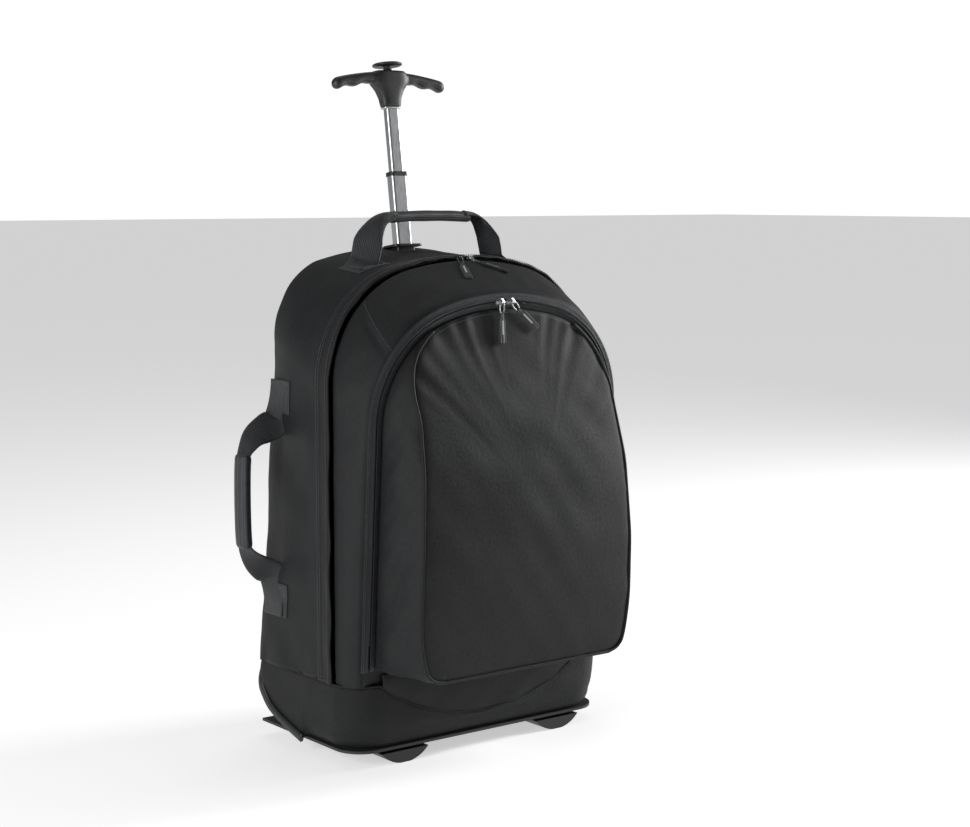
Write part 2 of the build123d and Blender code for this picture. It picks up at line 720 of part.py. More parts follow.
neck_top = neck_foot + neck_length
block_top = neck_top + block_height
with BuildPart() as grip_bar:
    with BuildSketch(pole_plane(neck_foot)):
        RectangleRounded(*neck_size, 3)
    with BuildSketch(pole_plane(neck_top)):
        RectangleRounded(block_size[0], block_size[1], 6)
    loft(ruled=True)
    with BuildSketch(pole_plane(neck_top)):
        RectangleRounded(block_size[0], block_size[1], 6)
    extrude(amount=block_height)
    # Two arms that droop towards their ends
    bar_plane = Plane(origin=pole_plane(0).from_local_coords((0, bar_thick / 2, 0)), x_dir=(1, 0, 0),
                      z_dir=-pole_plane(0).y_dir)
    bar_mid = block_top - bar_thick / 2
    with BuildSketch(bar_plane):
        with BuildLine():
            ThreePointArc((-bar_half, bar_mid - bar_drop + bar_thick / 2), (0, block_top),
                          (bar_half, bar_mid - bar_drop + bar_thick / 2))
            Line((bar_half, bar_mid - bar_drop + bar_thick / 2),
                 (bar_half, bar_mid - bar_drop - bar_thick / 2))
            ThreePointArc((bar_half, bar_mid - bar_drop - bar_thick / 2), (0, block_top - bar_thick),
                          (-bar_half, bar_mid - bar_drop - bar_thick / 2))
            Line((-bar_half, bar_mid - bar_drop - bar_thick / 2),
                 (-bar_half, bar_mid - bar_drop + bar_thick / 2))
        make_face()
    extrude(amount=bar_thick)
    # Socket for the upper stage, and a bore for the release rod and button stem
    with BuildSketch(pole_plane(neck_foot)):
        RectangleRounded(*upper_size, 3)
    extrude(amount=neck_length - socket_end, mode=Mode.SUBTRACT)
    with BuildSketch(pole_plane(neck_foot)):
        Circle(stem_radius)
    extrude(amount=60, mode=Mode.SUBTRACT)
keep(grip_bar, "grip_bar")

button_low = block_top + button_travel + button_gap
stem_low = neck_top - socket_end + button_travel + open_gap
with BuildPart() as button:
    with BuildSketch(pole_plane(button_low)):
        Circle(button_radius)
    extrude(amount=button_thick)
    fillet(button.edges().sort_by(Axis.Z)[-1], 1.2)
    with BuildSketch(pole_plane(stem_low)):
        Circle(stem_radius - slide_fit)
    extrude(amount=button_low - stem_low)
keep(button, "push_button")

rod_low = upper_foot + block_length + button_travel + open_gap
with BuildPart() as rod:
    with BuildSketch(pole_plane(rod_low)):
        Circle(rod_radius)
    extrude(amount=stem_low - rod_low)
keep(rod, "release_rod")

# Blocks that carry the spring catches at the lower end of each stage
for stage, foot_t, size, wall in (("upper", upper_foot, upper_size, upper_wall),
                                  ("lower", lower_foot, lower_size, lower_wall)):
    with BuildPart() as catch:
        with BuildSketch(pole_plane(foot_t)):
            RectangleRounded(size[0] - 2 * wall, size[1] - 2 * wall, 3 - wall)
        extrude(amount=block_length)
    keep(catch, f"{stage}_catch_block")
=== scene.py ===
import bpy
import bmesh
import math
import numpy as np
from mathutils import Matrix, Vector


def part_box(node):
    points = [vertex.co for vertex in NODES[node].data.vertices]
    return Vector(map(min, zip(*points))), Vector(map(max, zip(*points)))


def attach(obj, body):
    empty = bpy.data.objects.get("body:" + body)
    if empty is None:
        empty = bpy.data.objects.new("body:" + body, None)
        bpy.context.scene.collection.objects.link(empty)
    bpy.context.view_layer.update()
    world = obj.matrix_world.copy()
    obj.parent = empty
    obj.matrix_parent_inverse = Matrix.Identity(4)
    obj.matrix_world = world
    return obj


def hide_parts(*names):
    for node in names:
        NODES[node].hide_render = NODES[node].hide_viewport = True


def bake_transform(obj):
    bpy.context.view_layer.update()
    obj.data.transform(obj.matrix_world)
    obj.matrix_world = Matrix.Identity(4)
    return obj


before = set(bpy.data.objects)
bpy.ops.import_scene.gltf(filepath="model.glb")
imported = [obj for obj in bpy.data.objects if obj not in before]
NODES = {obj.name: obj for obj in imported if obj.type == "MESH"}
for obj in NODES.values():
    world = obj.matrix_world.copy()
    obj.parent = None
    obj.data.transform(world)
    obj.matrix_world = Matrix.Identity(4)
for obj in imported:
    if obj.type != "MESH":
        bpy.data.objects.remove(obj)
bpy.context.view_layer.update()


# ------------------------------------------------------------------ rear section
# The back half of the bag: one long gusset of padded 600-denier polyester that runs up one side, over the
# crown and down the other. It is sewn to the back panel behind and carries the storm flap in front.
MM = 0.001
gusset_low, gusset_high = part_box("rear_gusset")
MIDDLE = (gusset_low[0] + gusset_high[0]) / 2 / MM     # the bag's middle plane, mm
SEAM_Z = gusset_low[2] / MM                            # the seam above the base boot
BACK_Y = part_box("back_panel")[1][1] / MM
ZIP_SECTION = dict(low_half=174.5, spring_z=402.0, spring_half=174.5, shoulder_z=523.0, shoulder_half=78.0,
                   top_z=531.5)
REAR_SECTION = dict(low_half=174.0, spring_z=440.0, spring_half=147.0, shoulder_z=525.0, shoulder_half=100.0,
                    top_z=540.0)


def hex_colour(text):
    """A linear colour from an sRGB hex value such as '#202124'."""
    values = [int(text[i:i + 2], 16) / 255 for i in (1, 3, 5)]
    return [v / 12.92 if v <= 0.04045 else ((v + 0.055) / 1.055) ** 2.4 for v in values] + [1.0]


def add_node(tree, kind, settings=None, inputs=None):
    """One node with its settings; an input is a value, or a socket to link from."""
    made = tree.nodes.new(kind)
    for key, value in (settings or {}).items():
        setattr(made, key, value)
    for key, value in (inputs or {}).items():
        if isinstance(value, bpy.types.NodeSocket):
            tree.links.new(value, made.inputs[key])
        else:
            made.inputs[key].default_value = value
    return made


def new_finish(name, settings):
    """A material with one principled shader; returns it, its tree and the shader."""
    finish = bpy.data.materials.new(name)
    finish.use_nodes = True
    tree = finish.node_tree
    shader = tree.nodes["Principled BSDF"]
    for key, value in settings.items():
        shader.inputs[key].default_value = value
    return finish, tree, shader


def bow(start, end, rise, count):
    """Points from start to end along an arc that rises this far to the left of its chord."""
    start, end = np.array(start, float), np.array(end, float)
    chord = np.linalg.norm(end - start)
    along = (end - start) / chord
    left = np.array((-along[1], along[0]))
    radius = (chord ** 2 / 4 + rise ** 2) / (2 * rise)
    half = math.asin(min(1.0, chord / (2 * radius)))
    turn = np.linspace(-half, half, count)
    centre = (start + end) / 2 + left * (rise - radius)
    return centre + radius * (np.outer(np.sin(turn), along) + np.outer(np.cos(turn), left))


def arch_line(section, low_z, inset=0.0, count=241):
    """Evenly spaced (x, z) points up one flank of an arch, over its crown and down the other."""
    low, spring, spring_z = section["low_half"], section["spring_half"], section["spring_z"]
    shoulder, shoulder_z, top_z = section["shoulder_half"], section["shoulder_z"], section["top_z"]
    slope = 2 * math.atan((top_z - shoulder_z) / shoulder)
    chord = math.hypot(spring - shoulder, shoulder_z - spring_z)
    rise = chord / 2 * math.tan((math.pi / 2 - slope) / 4)
    flank = np.linspace((-low, low_z), (-spring, spring_z), 60)
    corner = bow((-spring, spring_z), (-shoulder, shoulder_z), rise, 60)
    crown = bow((-shoulder, shoulder_z), (shoulder, shoulder_z), top_z - shoulder_z, 60)
    half = np.vstack([flank[:-1], corner[:-1], crown[:30]])
    line = np.vstack([half, half[::-1] * (-1, 1)])
    step = np.gradient(line, axis=0)
    step /= np.linalg.norm(step, axis=1)[:, None]
    line = line - inset * np.stack([-step[:, 1], step[:, 0]], axis=1)
    run = np.concatenate([[0], np.cumsum(np.linalg.norm(np.diff(line, axis=0), axis=1))])
    places = np.linspace(0, run[-1], count)
    return np.stack([np.interp(places, run, line[:, 0]), np.interp(places, run, line[:, 1])], axis=1)


def closed_rim(line):
    """An arch's points, closed along its foot."""
    foot = np.linspace(line[-1], line[0], 61)[1:]
    return np.vstack([line, foot])


def mix_sections(first, second, share):
    """The arch that lies this share of the way from one arch to another."""
    return {key: first[key] * (1 - share) + second[key] * share for key in first}


def drift(points, size, seed):
    """Smooth wandering between about -1 and 1, with its bumps this many mm apart."""
    rng = np.random.default_rng(seed)
    total = np.zeros(points.shape[:-1])
    for _ in range(7):
        way = rng.normal(size=3)
        way /= np.linalg.norm(way)
        pitch = 2 * math.pi / size * rng.uniform(0.55, 1.7)
        total += np.sin(points @ way * pitch + rng.uniform(0, 2 * math.pi))
    return total / 3.2


def facing(rows):
    """Unit normals of a grid of points."""
    down = np.gradient(rows, axis=0)
    across = np.gradient(rows, axis=1)
    normal = np.cross(across, down)
    return normal / np.maximum(np.linalg.norm(normal, axis=2), 1e-9)[:, :, None]


def to_metres(points):
    """Millimetres about the bag's middle plane to metres in the frame."""
    return (np.asarray(points, float) + (MIDDLE, 0, 0)) * MM


HEART = np.array((0.0, 45.0, 260.0))      # a point inside the bag, which every outer panel faces away from


def cloth_mesh(name, points, faces, spread, finish):
    """A mesh in mm about the middle plane, with the weave's coordinates for every corner of every face."""
    mesh = bpy.data.meshes.new(name)
    mesh.from_pydata(to_metres(points).tolist(), [], [list(face) for face in faces])
    mesh.uv_layers.new(name="cloth").data.foreach_set("uv", (np.asarray(spread, float) * MM).ravel())
    shape = bmesh.new()
    shape.from_mesh(mesh)
    bmesh.ops.remove_doubles(shape, verts=shape.verts, dist=0.02 * MM)
    shape.to_mesh(mesh)
    shape.free()
    mesh.shade_smooth()
    mesh.materials.append(finish)
    made = bpy.data.objects.new(name, mesh)
    bpy.context.scene.collection.objects.link(made)
    return made


def settle(made, body, stands_for):
    """Lets a finished piece ride on its body, if it has only one, and stand for its CAD nodes."""
    if body:
        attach(made, body)
    if stands_for:
        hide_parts(*stands_for)
    return made


def panel(name, rows, finish, body, stands_for=(), thick=1.2, lay=None, heart=HEART):
    """A cloth panel from rows of points in mm. Its weave follows the rows, or lies as lay says."""
    rows = np.asarray(rows, float)
    count, width, _ = rows.shape
    normal = facing(rows)
    if (normal * (rows - heart)).sum() < 0:
        rows = rows[::-1]
        lay = None if lay is None else lay[::-1]
    if lay is None:
        along = np.cumsum(np.linalg.norm(np.diff(rows, axis=1, prepend=rows[:, :1]), axis=2), axis=1)
        along -= along[:, width // 2][:, None]
        down = np.cumsum(np.linalg.norm(np.diff(rows, axis=0, prepend=rows[:1]), axis=2), axis=0)
        lay = np.stack([along, down], axis=2)
    place = np.arange(count * width).reshape(count, width)
    faces = np.stack([place[:-1, :-1], place[:-1, 1:], place[1:, 1:], place[1:, :-1]], axis=2).reshape(-1, 4)
    made = cloth_mesh(name, rows.reshape(-1, 3), faces, np.reshape(lay, (-1, 2))[faces], finish)
    if thick:
        wall = made.modifiers.new("wall", "SOLIDIFY")
        wall.thickness = thick * MM
        wall.offset = -1
    return settle(made, body, stands_for)


def sweep(name, path, outline, up, finish, body, stands_for=(), closed=False):
    """A strip of one outline (across, up) carried along a path in mm, such as piping, tape or webbing."""
    path = np.asarray(path, float)
    count = len(path)
    step = np.roll(path, -1, axis=0) - np.roll(path, 1, axis=0) if closed else np.gradient(path, axis=0)
    step /= np.linalg.norm(step, axis=1)[:, None]
    up = np.array(np.broadcast_to(np.asarray(up, float), (count, 3)))
    up -= (up * step).sum(axis=1)[:, None] * step
    up /= np.linalg.norm(up, axis=1)[:, None]
    across = np.cross(step, up)
    outline = np.broadcast_to(np.asarray(outline, float), (count, *np.shape(outline)[-2:]))
    sides = outline.shape[1]
    points = path[:, None] + outline[:, :, :1] * across[:, None] + outline[:, :, 1:] * up[:, None]
    around = np.linalg.norm(np.diff(outline[0], axis=0, append=outline[0][:1]), axis=1)
    around = np.concatenate([[0], np.cumsum(around)])
    run = np.concatenate([[0], np.cumsum(np.linalg.norm(np.diff(path, axis=0), axis=1))])
    run = np.append(run, run[-1] + np.linalg.norm(path[0] - path[-1]))
    faces, spread = [], []
    for i in range(count if closed else count - 1):
        for j in range(sides):
            k, m = (i + 1) % count, (j + 1) % sides
            faces.append((i * sides + j, k * sides + j, k * sides + m, i * sides + m))
            spread += [(around[j], run[i]), (around[j], run[i + 1]),
                       (around[j + 1], run[i + 1]), (around[j + 1], run[i])]
    if not closed:
        for i in (0, count - 1):
            ring = list(range(i * sides, (i + 1) * sides))
            faces.append(ring if i == 0 else ring[::-1])
            spread += [tuple(outline[i][j % sides] + (0, run[i])) for j in (range(sides) if i == 0 else
                                                                          range(sides - 1, -1, -1))]
    made = cloth_mesh(name, points.reshape(-1, 3), faces, spread, finish)
    shape = bmesh.new()
    shape.from_mesh(made.data)
    bmesh.ops.recalc_face_normals(shape, faces=shape.faces)
    shape.to_mesh(made.data)
    shape.free()
    return settle(made, body, stands_for)


def ring(radius, sides=10, height=None):
    """A round or oval outline for sweep()."""
    turn = np.linspace(0, 2 * math.pi, sides, endpoint=False)
    return np.stack([radius * np.cos(turn), (height or radius) * np.sin(turn)], axis=1)


def strap(width, thick, crown=0.0):
    """The outline of a flat tape or webbing: soft edges, and a slight crown over its width."""
    half, edge = width / 2, thick / 2
    over = np.linspace(-half + edge, half - edge, 9)
    top = np.stack([over, edge + crown * (1 - (over / half) ** 2)], axis=1)
    return np.vstack([(-half, 0), top, (half, 0), (top * (1, 0) + (0, -edge) + (0, crown) *
                                                    (1 - (top[:, :1] / half) ** 2))[::-1]])


# 600-denier polyester, plain woven and coated behind: a dry, even black that turns a little grey where the
# light grazes it. The threads are 0.6 mm apart; they are drawn 1.3 mm apart so that they can be seen.
THREAD = 0.0013


def woven(name, colour, worn, thread, depth, roughness, sheen):
    """A plain weave on the piece's own cloth coordinates."""
    finish, tree, shader = new_finish(name, {"Roughness": roughness, "Sheen Weight": sheen,
                                             "Sheen Roughness": 0.45, "Specular IOR Level": 0.25})
    shader.inputs["Sheen Tint"].default_value = hex_colour("#c8cad0")
    place = add_node(tree, "ShaderNodeUVMap", {"uv_map": "cloth"})
    split = add_node(tree, "ShaderNodeSeparateXYZ", inputs={0: place.outputs[0]})
    threads = []
    for axis in (0, 1):
        turn = add_node(tree, "ShaderNodeMath", {"operation": "MULTIPLY"},
                        {0: split.outputs[axis], 1: 2 * math.pi / thread})
        threads.append(add_node(tree, "ShaderNodeMath", {"operation": "SINE"}, {0: turn.outputs[0]}))
    weave = add_node(tree, "ShaderNodeMath", {"operation": "MULTIPLY"},
                     {0: threads[0].outputs[0], 1: threads[1].outputs[0]})
    slub = add_node(tree, "ShaderNodeTexNoise", inputs={"Vector": place.outputs[0], "Scale": 260.0,
                                                        "Detail": 4.0, "Roughness": 0.6})
    cloud = add_node(tree, "ShaderNodeTexNoise", inputs={"Vector": place.outputs[0], "Scale": 14.0,
                                                         "Detail": 5.0, "Roughness": 0.55})
    grain = add_node(tree, "ShaderNodeMath", {"operation": "MULTIPLY_ADD"},
                     {0: weave.outputs[0], 1: 0.22, 2: slub.outputs[0]})
    tone = add_node(tree, "ShaderNodeMath", {"operation": "MULTIPLY_ADD"},
                    {0: cloud.outputs[0], 1: 0.55, 2: grain.outputs[0]})
    ramp = add_node(tree, "ShaderNodeMapRange", inputs={"Value": tone.outputs[0], "From Min": 0.45,
                                                        "From Max": 1.25})
    mixed = add_node(tree, "ShaderNodeMix", {"data_type": "RGBA"},
                     {0: ramp.outputs[0], 6: hex_colour(colour), 7: hex_colour(worn)})
    tree.links.new(mixed.outputs[2], shader.inputs["Base Color"])
    bump = add_node(tree, "ShaderNodeBump", inputs={"Height": grain.outputs[0], "Strength": depth,
                                                    "Distance": 0.0006})
    tree.links.new(bump.outputs[0], shader.inputs["Normal"])
    return finish


CLOTH = woven("polyester_600d", "#0e0f10", "#1f2022", THREAD, 0.5, 0.58, 0.04)

ROUND_BACK = 9.0       # the soft round where the gusset turns into the back panel
BAND_BACK = 12.0       # the gusset is straight in front of this


def body_section(y):
    """The bag's outer arch at this depth, behind the zip."""
    share = min(1.0, max(0.0, (y - BAND_BACK) / (BACK_Y - BAND_BACK)))
    return mix_sections(ZIP_SECTION, REAR_SECTION, share)


def gusset_row(y, inset):
    """One row of the rear gusset: an arch at depth y, drawn in by inset."""
    line = arch_line(body_section(y), SEAM_Z, inset)
    return np.stack([line[:, 0], np.full(len(line), y), line[:, 1]], axis=1)


gusset_rows = []
for turn in np.linspace(0, math.pi / 2, 7)[:-1]:
    gusset_rows.append(gusset_row(BACK_Y - 1 - ROUND_BACK * (1 - math.cos(turn)),
                                  ROUND_BACK * (1 - math.sin(turn))))
for y in np.linspace(BACK_Y - 1 - ROUND_BACK, -12.5, 30):
    gusset_rows.append(gusset_row(y, 0))
gusset_rows = np.array(gusset_rows)
depth_share = np.clip((gusset_rows[:, :, 1] - 12) / (BACK_Y - 12), 0, 1)
swell = np.sin(math.pi * depth_share ** 1.4) ** 0.8
gusset_out = facing(gusset_rows)
side_sign = np.sign((gusset_out * (gusset_rows - HEART)).sum(axis=2))
gusset_out *= side_sign[:, :, None]
near_seam = np.exp(-(gusset_rows[:, :, 2] - SEAM_Z) / 22.0)
pucker = near_seam * np.sin(gusset_rows[:, :, 1] / 9.0 + 2 * drift(gusset_rows, 60, 3)) * 1.1
soft = drift(gusset_rows, 130, 1) * 1.4 + drift(gusset_rows, 46, 2) * 0.5
fullness = swell * (1.5 + 3.5 * np.abs(gusset_out[:, :, 0])) + (soft + pucker) * np.minimum(1, swell * 3)
gusset_rows = gusset_rows + gusset_out * fullness[:, :, None]
gusset_cloth_rows = gusset_rows
panel("rear_gusset_cloth", gusset_rows, CLOTH, "bag", ("rear_gusset",), thick=2.2)


# ------------------------------------------------------------------ back panel
# The flat padded back of the bag: cloth over foam with two sewn channels, bound into the gusset's edge.
rim = closed_rim(arch_line(REAR_SECTION, SEAM_Z, ROUND_BACK))
back_rows = []
for share in np.linspace(1, 0, 34):
    x = rim[:, 0] * share
    z = 290 + (rim[:, 1] - 290) * share
    fall = np.clip((1 - share) * 6, 0, 1)
    channel = np.exp(-((np.abs(x) - 58) / 5.0) ** 2) * np.clip((z - SEAM_Z - 20) / 20, 0, 1)
    y = BACK_Y - 1.2 + 1.8 * np.sqrt(fall) - 2.0 * channel * fall
    back_rows.append(np.stack([x, y, z], axis=1))
back_rows = np.array(back_rows)
back_rows[:, :, 1] += drift(back_rows, 90, 5) * 0.5
back_cloth = panel("back_panel_cloth", back_rows, CLOTH, "bag", ("back_panel",), thick=2.2,
                   lay=back_rows[:, :, ::2])


# ------------------------------------------------------------------ base boot
# The stiff tub that takes the knocks: heavy polyester over a board, its top edge piped and sewn to the walls.
# The rear lower corners are cut away for the wheel housings, and the front wall dips to a low scoop.
BOOT_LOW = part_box("base_boot")[0][2] / MM
BOOT_HALF, BOOT_FRONT, BOOT_BACK = 174.0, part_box("base_boot")[0][1] / MM, BACK_Y
FRONT_CORNER, LOW_CORNER, BACK_CORNER, BOOT_ROUND = 35.0, 46.0, 12.0, 24.0
SCOOP_HALF, SCOOP_Z = 139.0, 40.0
CUT_HALF = 84.0        # the rear lower edge is cut away outside this half width, for the wheels
CUT_EDGE = ((36, 0), (42, 3), (80, 14), (106, 25), (120, 38), (128, 50),
            (134.5, 62))     # y, height of the cut


def boot_plan(front_corner, count=640):
    """Evenly spaced (x, y) points round the boot, from the middle of its back by way of the left side."""
    corners = ((-BOOT_HALF, BOOT_BACK, BACK_CORNER, 90), (-BOOT_HALF, BOOT_FRONT, front_corner, 180),
               (BOOT_HALF, BOOT_FRONT, front_corner, 270), (BOOT_HALF, BOOT_BACK, BACK_CORNER, 0))
    line = [np.array([[0, BOOT_BACK]])]
    for x, y, radius, start in corners:
        turn = np.radians(np.linspace(start, start + 90, 16))
        centre = (x - math.copysign(radius, x), y + radius * (1 if y < 0 else -1))
        line.append(np.stack([centre[0] + radius * np.cos(turn), centre[1] + radius * np.sin(turn)], axis=1))
    line = np.vstack(line + [np.array([[0, BOOT_BACK]])])
    run = np.concatenate([[0], np.cumsum(np.linalg.norm(np.diff(line, axis=0), axis=1))])
    places = np.linspace(0, run[-1], count + 1)
    return np.stack([np.interp(places, run, line[:, 0]), np.interp(places, run, line[:, 1])], axis=1)


def scoop_height(x, y):
    """Height of the boot's top edge: level, with a shallow arc across the front."""
    radius = (SCOOP_HALF ** 2 + (SEAM_Z - SCOOP_Z) ** 2) / (2 * (SEAM_Z - SCOOP_Z))
    arc = SCOOP_Z + radius - np.sqrt(np.maximum(radius ** 2 - x ** 2, 0))
    return np.where((y < 0) & (np.abs(x) < SCOOP_HALF), arc, SEAM_Z)


def cut_height(x, y):
    """Height of the boot's lower edge, which climbs over each wheel housing."""
    return BOOT_LOW + np.interp(y, *np.array(CUT_EDGE, float).T) * np.clip((np.abs(x) - CUT_HALF) / 3, 0, 1)


plan = boot_plan(FRONT_CORNER)
low_plan = boot_plan(LOW_CORNER)
way = np.gradient(plan, axis=0)
way[0] = way[-1] = (-1, 0)
way /= np.linalg.norm(way, axis=1)[:, None]
outward = np.stack([way[:, 1], -way[:, 0]], axis=1)
top_edge = scoop_height(*plan.T)
low_edge = cut_height(*plan.T)
turn_in = BOOT_ROUND * np.clip(1 - (low_edge - BOOT_LOW) / 5, 0.12, 1)
boot_rows = []
for share in np.linspace(0, 1, 18):
    z = top_edge + (low_edge + turn_in - top_edge) * share
    puff = 1.4 * math.sin(math.pi * share) ** 0.7
    wander = drift(np.stack([plan[:, 0], plan[:, 1], z], axis=1), 70, 8) * 0.9 * math.sin(math.pi * share)
    flat = plan + (low_plan - plan) * share ** 3 + outward * (puff + wander)[:, None]
    boot_rows.append(np.stack([flat[:, 0], flat[:, 1], z], axis=1))
for turn in np.linspace(0, math.pi / 2, 7)[1:]:
    flat = low_plan - outward * (turn_in * (1 - math.cos(turn)))[:, None]
    boot_rows.append(np.stack([flat[:, 0], flat[:, 1], low_edge + turn_in * (1 - math.sin(turn))], axis=1))
BOOT_CLOTH = woven("polyester_1680d", "#0f1011", "#1b1c1d", 0.0016, 1.0, 0.6, 0.04)
panel("base_boot_cloth", boot_rows, BOOT_CLOTH, "bag", ("base_boot",), thick=2.0)

# The sole: the same cloth stretched flat under the board, kept clear of the two wheel bays
floor_z = BOOT_LOW + 0.3
for name, y0, y1, half in (("front", BOOT_FRONT + BOOT_ROUND, 40.0, BOOT_HALF - BOOT_ROUND),
                           ("rear", 40.0, BOOT_BACK - 14, CUT_HALF - 1)):
    across = np.linspace(-half, half, 60)
    sole = []
    for y in np.linspace(y0, y1, 24):
        inner = LOW_CORNER - BOOT_ROUND
        nip = min(inner, max(0.0, BOOT_FRONT + LOW_CORNER - y)) if name == "front" else 0.0
        line = across / half * (half - inner + math.sqrt(inner ** 2 - nip ** 2))
        sole.append(np.stack([line, np.full(60, y), np.full(60, floor_z)], axis=1))
    sole = np.array(sole)
    sole[:, :, 2] += drift(sole, 80, 9) * 0.25
    panel(f"base_sole_{name}", sole, BOOT_CLOTH, "bag", thick=1.2)

# Piping in the seam between boot and walls
WELT = woven("piping_cloth", "#0c0d0e", "#18191a", 0.0012, 0.4, 0.55, 0.04)
sweep("boot_welt", np.column_stack([plan[:-1] + outward[:-1] * 0.1, scoop_height(*plan[:-1].T) + 0.4]),
      ring(1.2, 8),
      (0, 0, 1), WELT, "bag", closed=True)


# ------------------------------------------------------------------ lower front panel
# The plain panel between the pocket's underside and the boot's scoop, sewn to the opening front section.
LEAN = math.radians(4.7)
LEAN_Y, LEAN_Z = -51.5, 92.0


def leaning(x, s, n):
    """A point given across, up and out from the front panel's leaning plane."""
    x, s, n = np.broadcast_arrays(np.asarray(x, float), s, n)
    return np.stack([x, LEAN_Y - s * math.sin(LEAN) - n * math.cos(LEAN),
                     LEAN_Z + s * math.cos(LEAN) - n * math.sin(LEAN)], axis=-1)


lower_rows = []
across = np.linspace(-SCOOP_HALF + 3, SCOOP_HALF - 3, 90)
for share in np.linspace(0, 1, 20):
    low = scoop_height(across, np.full(90, -50.0)) + 1.0
    z = low + (100.0 - low) * share
    y = np.full(90, BOOT_FRONT - 0.8) - 1.6 * math.sin(math.pi * share) * np.ones(90)
    lower_rows.append(np.stack([across, y, z], axis=1))
lower_rows = np.array(lower_rows)
lower_rows[:, :, 1] += drift(lower_rows, 60, 11) * 0.7
panel("lower_front_cloth", lower_rows, CLOTH, "front_cover", ("lower_panel",), thick=1.5)


# ------------------------------------------------------------------ front section
# The opening front half: a padded gusset that runs from the zip to the front seam, and the front panel
# behind the pocket. Two seams divide the gusset at the shoulders.
POCKET_SECTION = dict(low_half=154.0, spring_z=273.0, spring_half=157.0, shoulder_z=386.0, shoulder_half=76.0,
                      top_z=397.5)
TAPE_HALF = 9.0
COVER_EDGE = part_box("cover_gusset")[1][1] / MM
COVER_INSET = 2.5
COUNT = 321


def lean_arch(inset, n, low_s=-4.0, count=COUNT):
    """Points of the pocket's zip line on the leaning plane, drawn in by inset and raised by n."""
    line = arch_line(POCKET_SECTION, low_s, inset, count)
    return leaning(line[:, 0], line[:, 1], n)


rear_edge = arch_line(ZIP_SECTION, SEAM_Z, COVER_INSET, COUNT)
rear_edge = np.stack([rear_edge[:, 0], np.full(COUNT, COVER_EDGE), rear_edge[:, 1]], axis=1)
front_edge = lean_arch(-TAPE_HALF, 0.0)
cover_rows = []
for share in np.linspace(0, 1, 26):
    row = rear_edge * (1 - share) + front_edge * share
    cover_rows.append(row)
cover_rows = np.array(cover_rows)
cover_out = facing(cover_rows)
if (cover_out * (cover_rows - HEART)).sum() < 0:
    cover_out = -cover_out
share_down = np.linspace(0, 1, 26)[:, None]
fullness = np.sin(math.pi * share_down) ** 0.75
round_front = -2.2 * np.exp(-((1 - share_down) / 0.05) ** 2)
SEAM_AT = 0.366 - 0.024 * share_down[:,
                                     0] ** 0.7       # the shoulder seams' place round the arch, rear to front
round_at = np.arange(COUNT)[None] / (COUNT - 1)
seam_dip = -2.2 * sum(np.exp(-((round_at - place[:, None]) * COUNT / 1.1) ** 2) for place in (SEAM_AT,
                                                                                              1 - SEAM_AT))
folds = np.sin(np.arange(COUNT) / 3.1 + 2.5 * drift(cover_rows, 70,
                                                    12)) * np.exp(-(1 - share_down) / 0.35) * 0.35
cover_soft = drift(cover_rows, 120, 13) * 1.5 + drift(cover_rows, 38, 14) * 0.45
crown_sag = -5.0 * np.exp(-((np.arange(COUNT) / (COUNT - 1) - 0.5) / 0.13) ** 2)
cover_rows += cover_out * (fullness * (4.0 + crown_sag + cover_soft) + round_front
                           + (folds + seam_dip) * fullness)[:, :, None]
panel("cover_gusset_cloth", cover_rows, CLOTH, "front_cover", ("cover_gusset",), thick=2.0)

panel_rim = closed_rim(lean_arch(0.6 - TAPE_HALF, -1.0))
panel_rows = []
for share in np.linspace(1, 0, 24):
    x, s = panel_rim[:, 0] * share, (panel_rim[:, 2] - LEAN_Z) / math.cos(LEAN)
    s = 170 + (s - 170) * share
    panel_rows.append(leaning(x, s, -1.0 + 1.0 * math.sin(math.pi * share)))
panel_rows = np.array(panel_rows)
panel("front_panel_cloth", panel_rows, CLOTH, "front_cover", ("front_panel",), thick=1.2,
      lay=panel_rows[:, :, ::2], heart=HEART)


# ------------------------------------------------------------------ storm flap and stitching
# A folded strip of the same cloth that covers the main zip. It is sewn down along its rear edge with two rows
# of lockstitch, and its free edge stands a little proud of the front section.
flap_rows = []
flap_profile = ((10.0, 0.9), (8.5, 1.7), (5.0, 1.9), (2.0, 2.0), (-2.0, 2.3), (-7.0, 3.0), (-11.0, 3.6),
                (-14.5, 3.9), (-16.6, 3.7), (-17.5, 2.6), (-17.0, 1.4), (-15.0, 1.0), (-11.0, 0.9))
for y, rise in flap_profile:
    line = arch_line(ZIP_SECTION, SEAM_Z + 0.5, -rise + 0.6, COUNT)
    flap_rows.append(np.stack([line[:, 0], np.full(COUNT, y), line[:, 1]], axis=1))
flap_rows = np.array(flap_rows)
loose = np.clip((2 - flap_rows[:, :, 1]) / 18, 0, 1)
flap_rows[:, :, 1] += loose * drift(flap_rows, 45, 15) * 0.8
flap_out = facing(flap_rows[:7])[3]
flap_out *= np.sign((flap_out * (flap_rows[3] - HEART)).sum(axis=1))[:, None]
flap_rows += flap_out * (loose[:, :, None] * drift(flap_rows, 34, 16)[:, :, None] * 0.7)
panel("storm_flap", flap_rows, CLOTH, "bag", ("zip_flap",), thick=0.9)

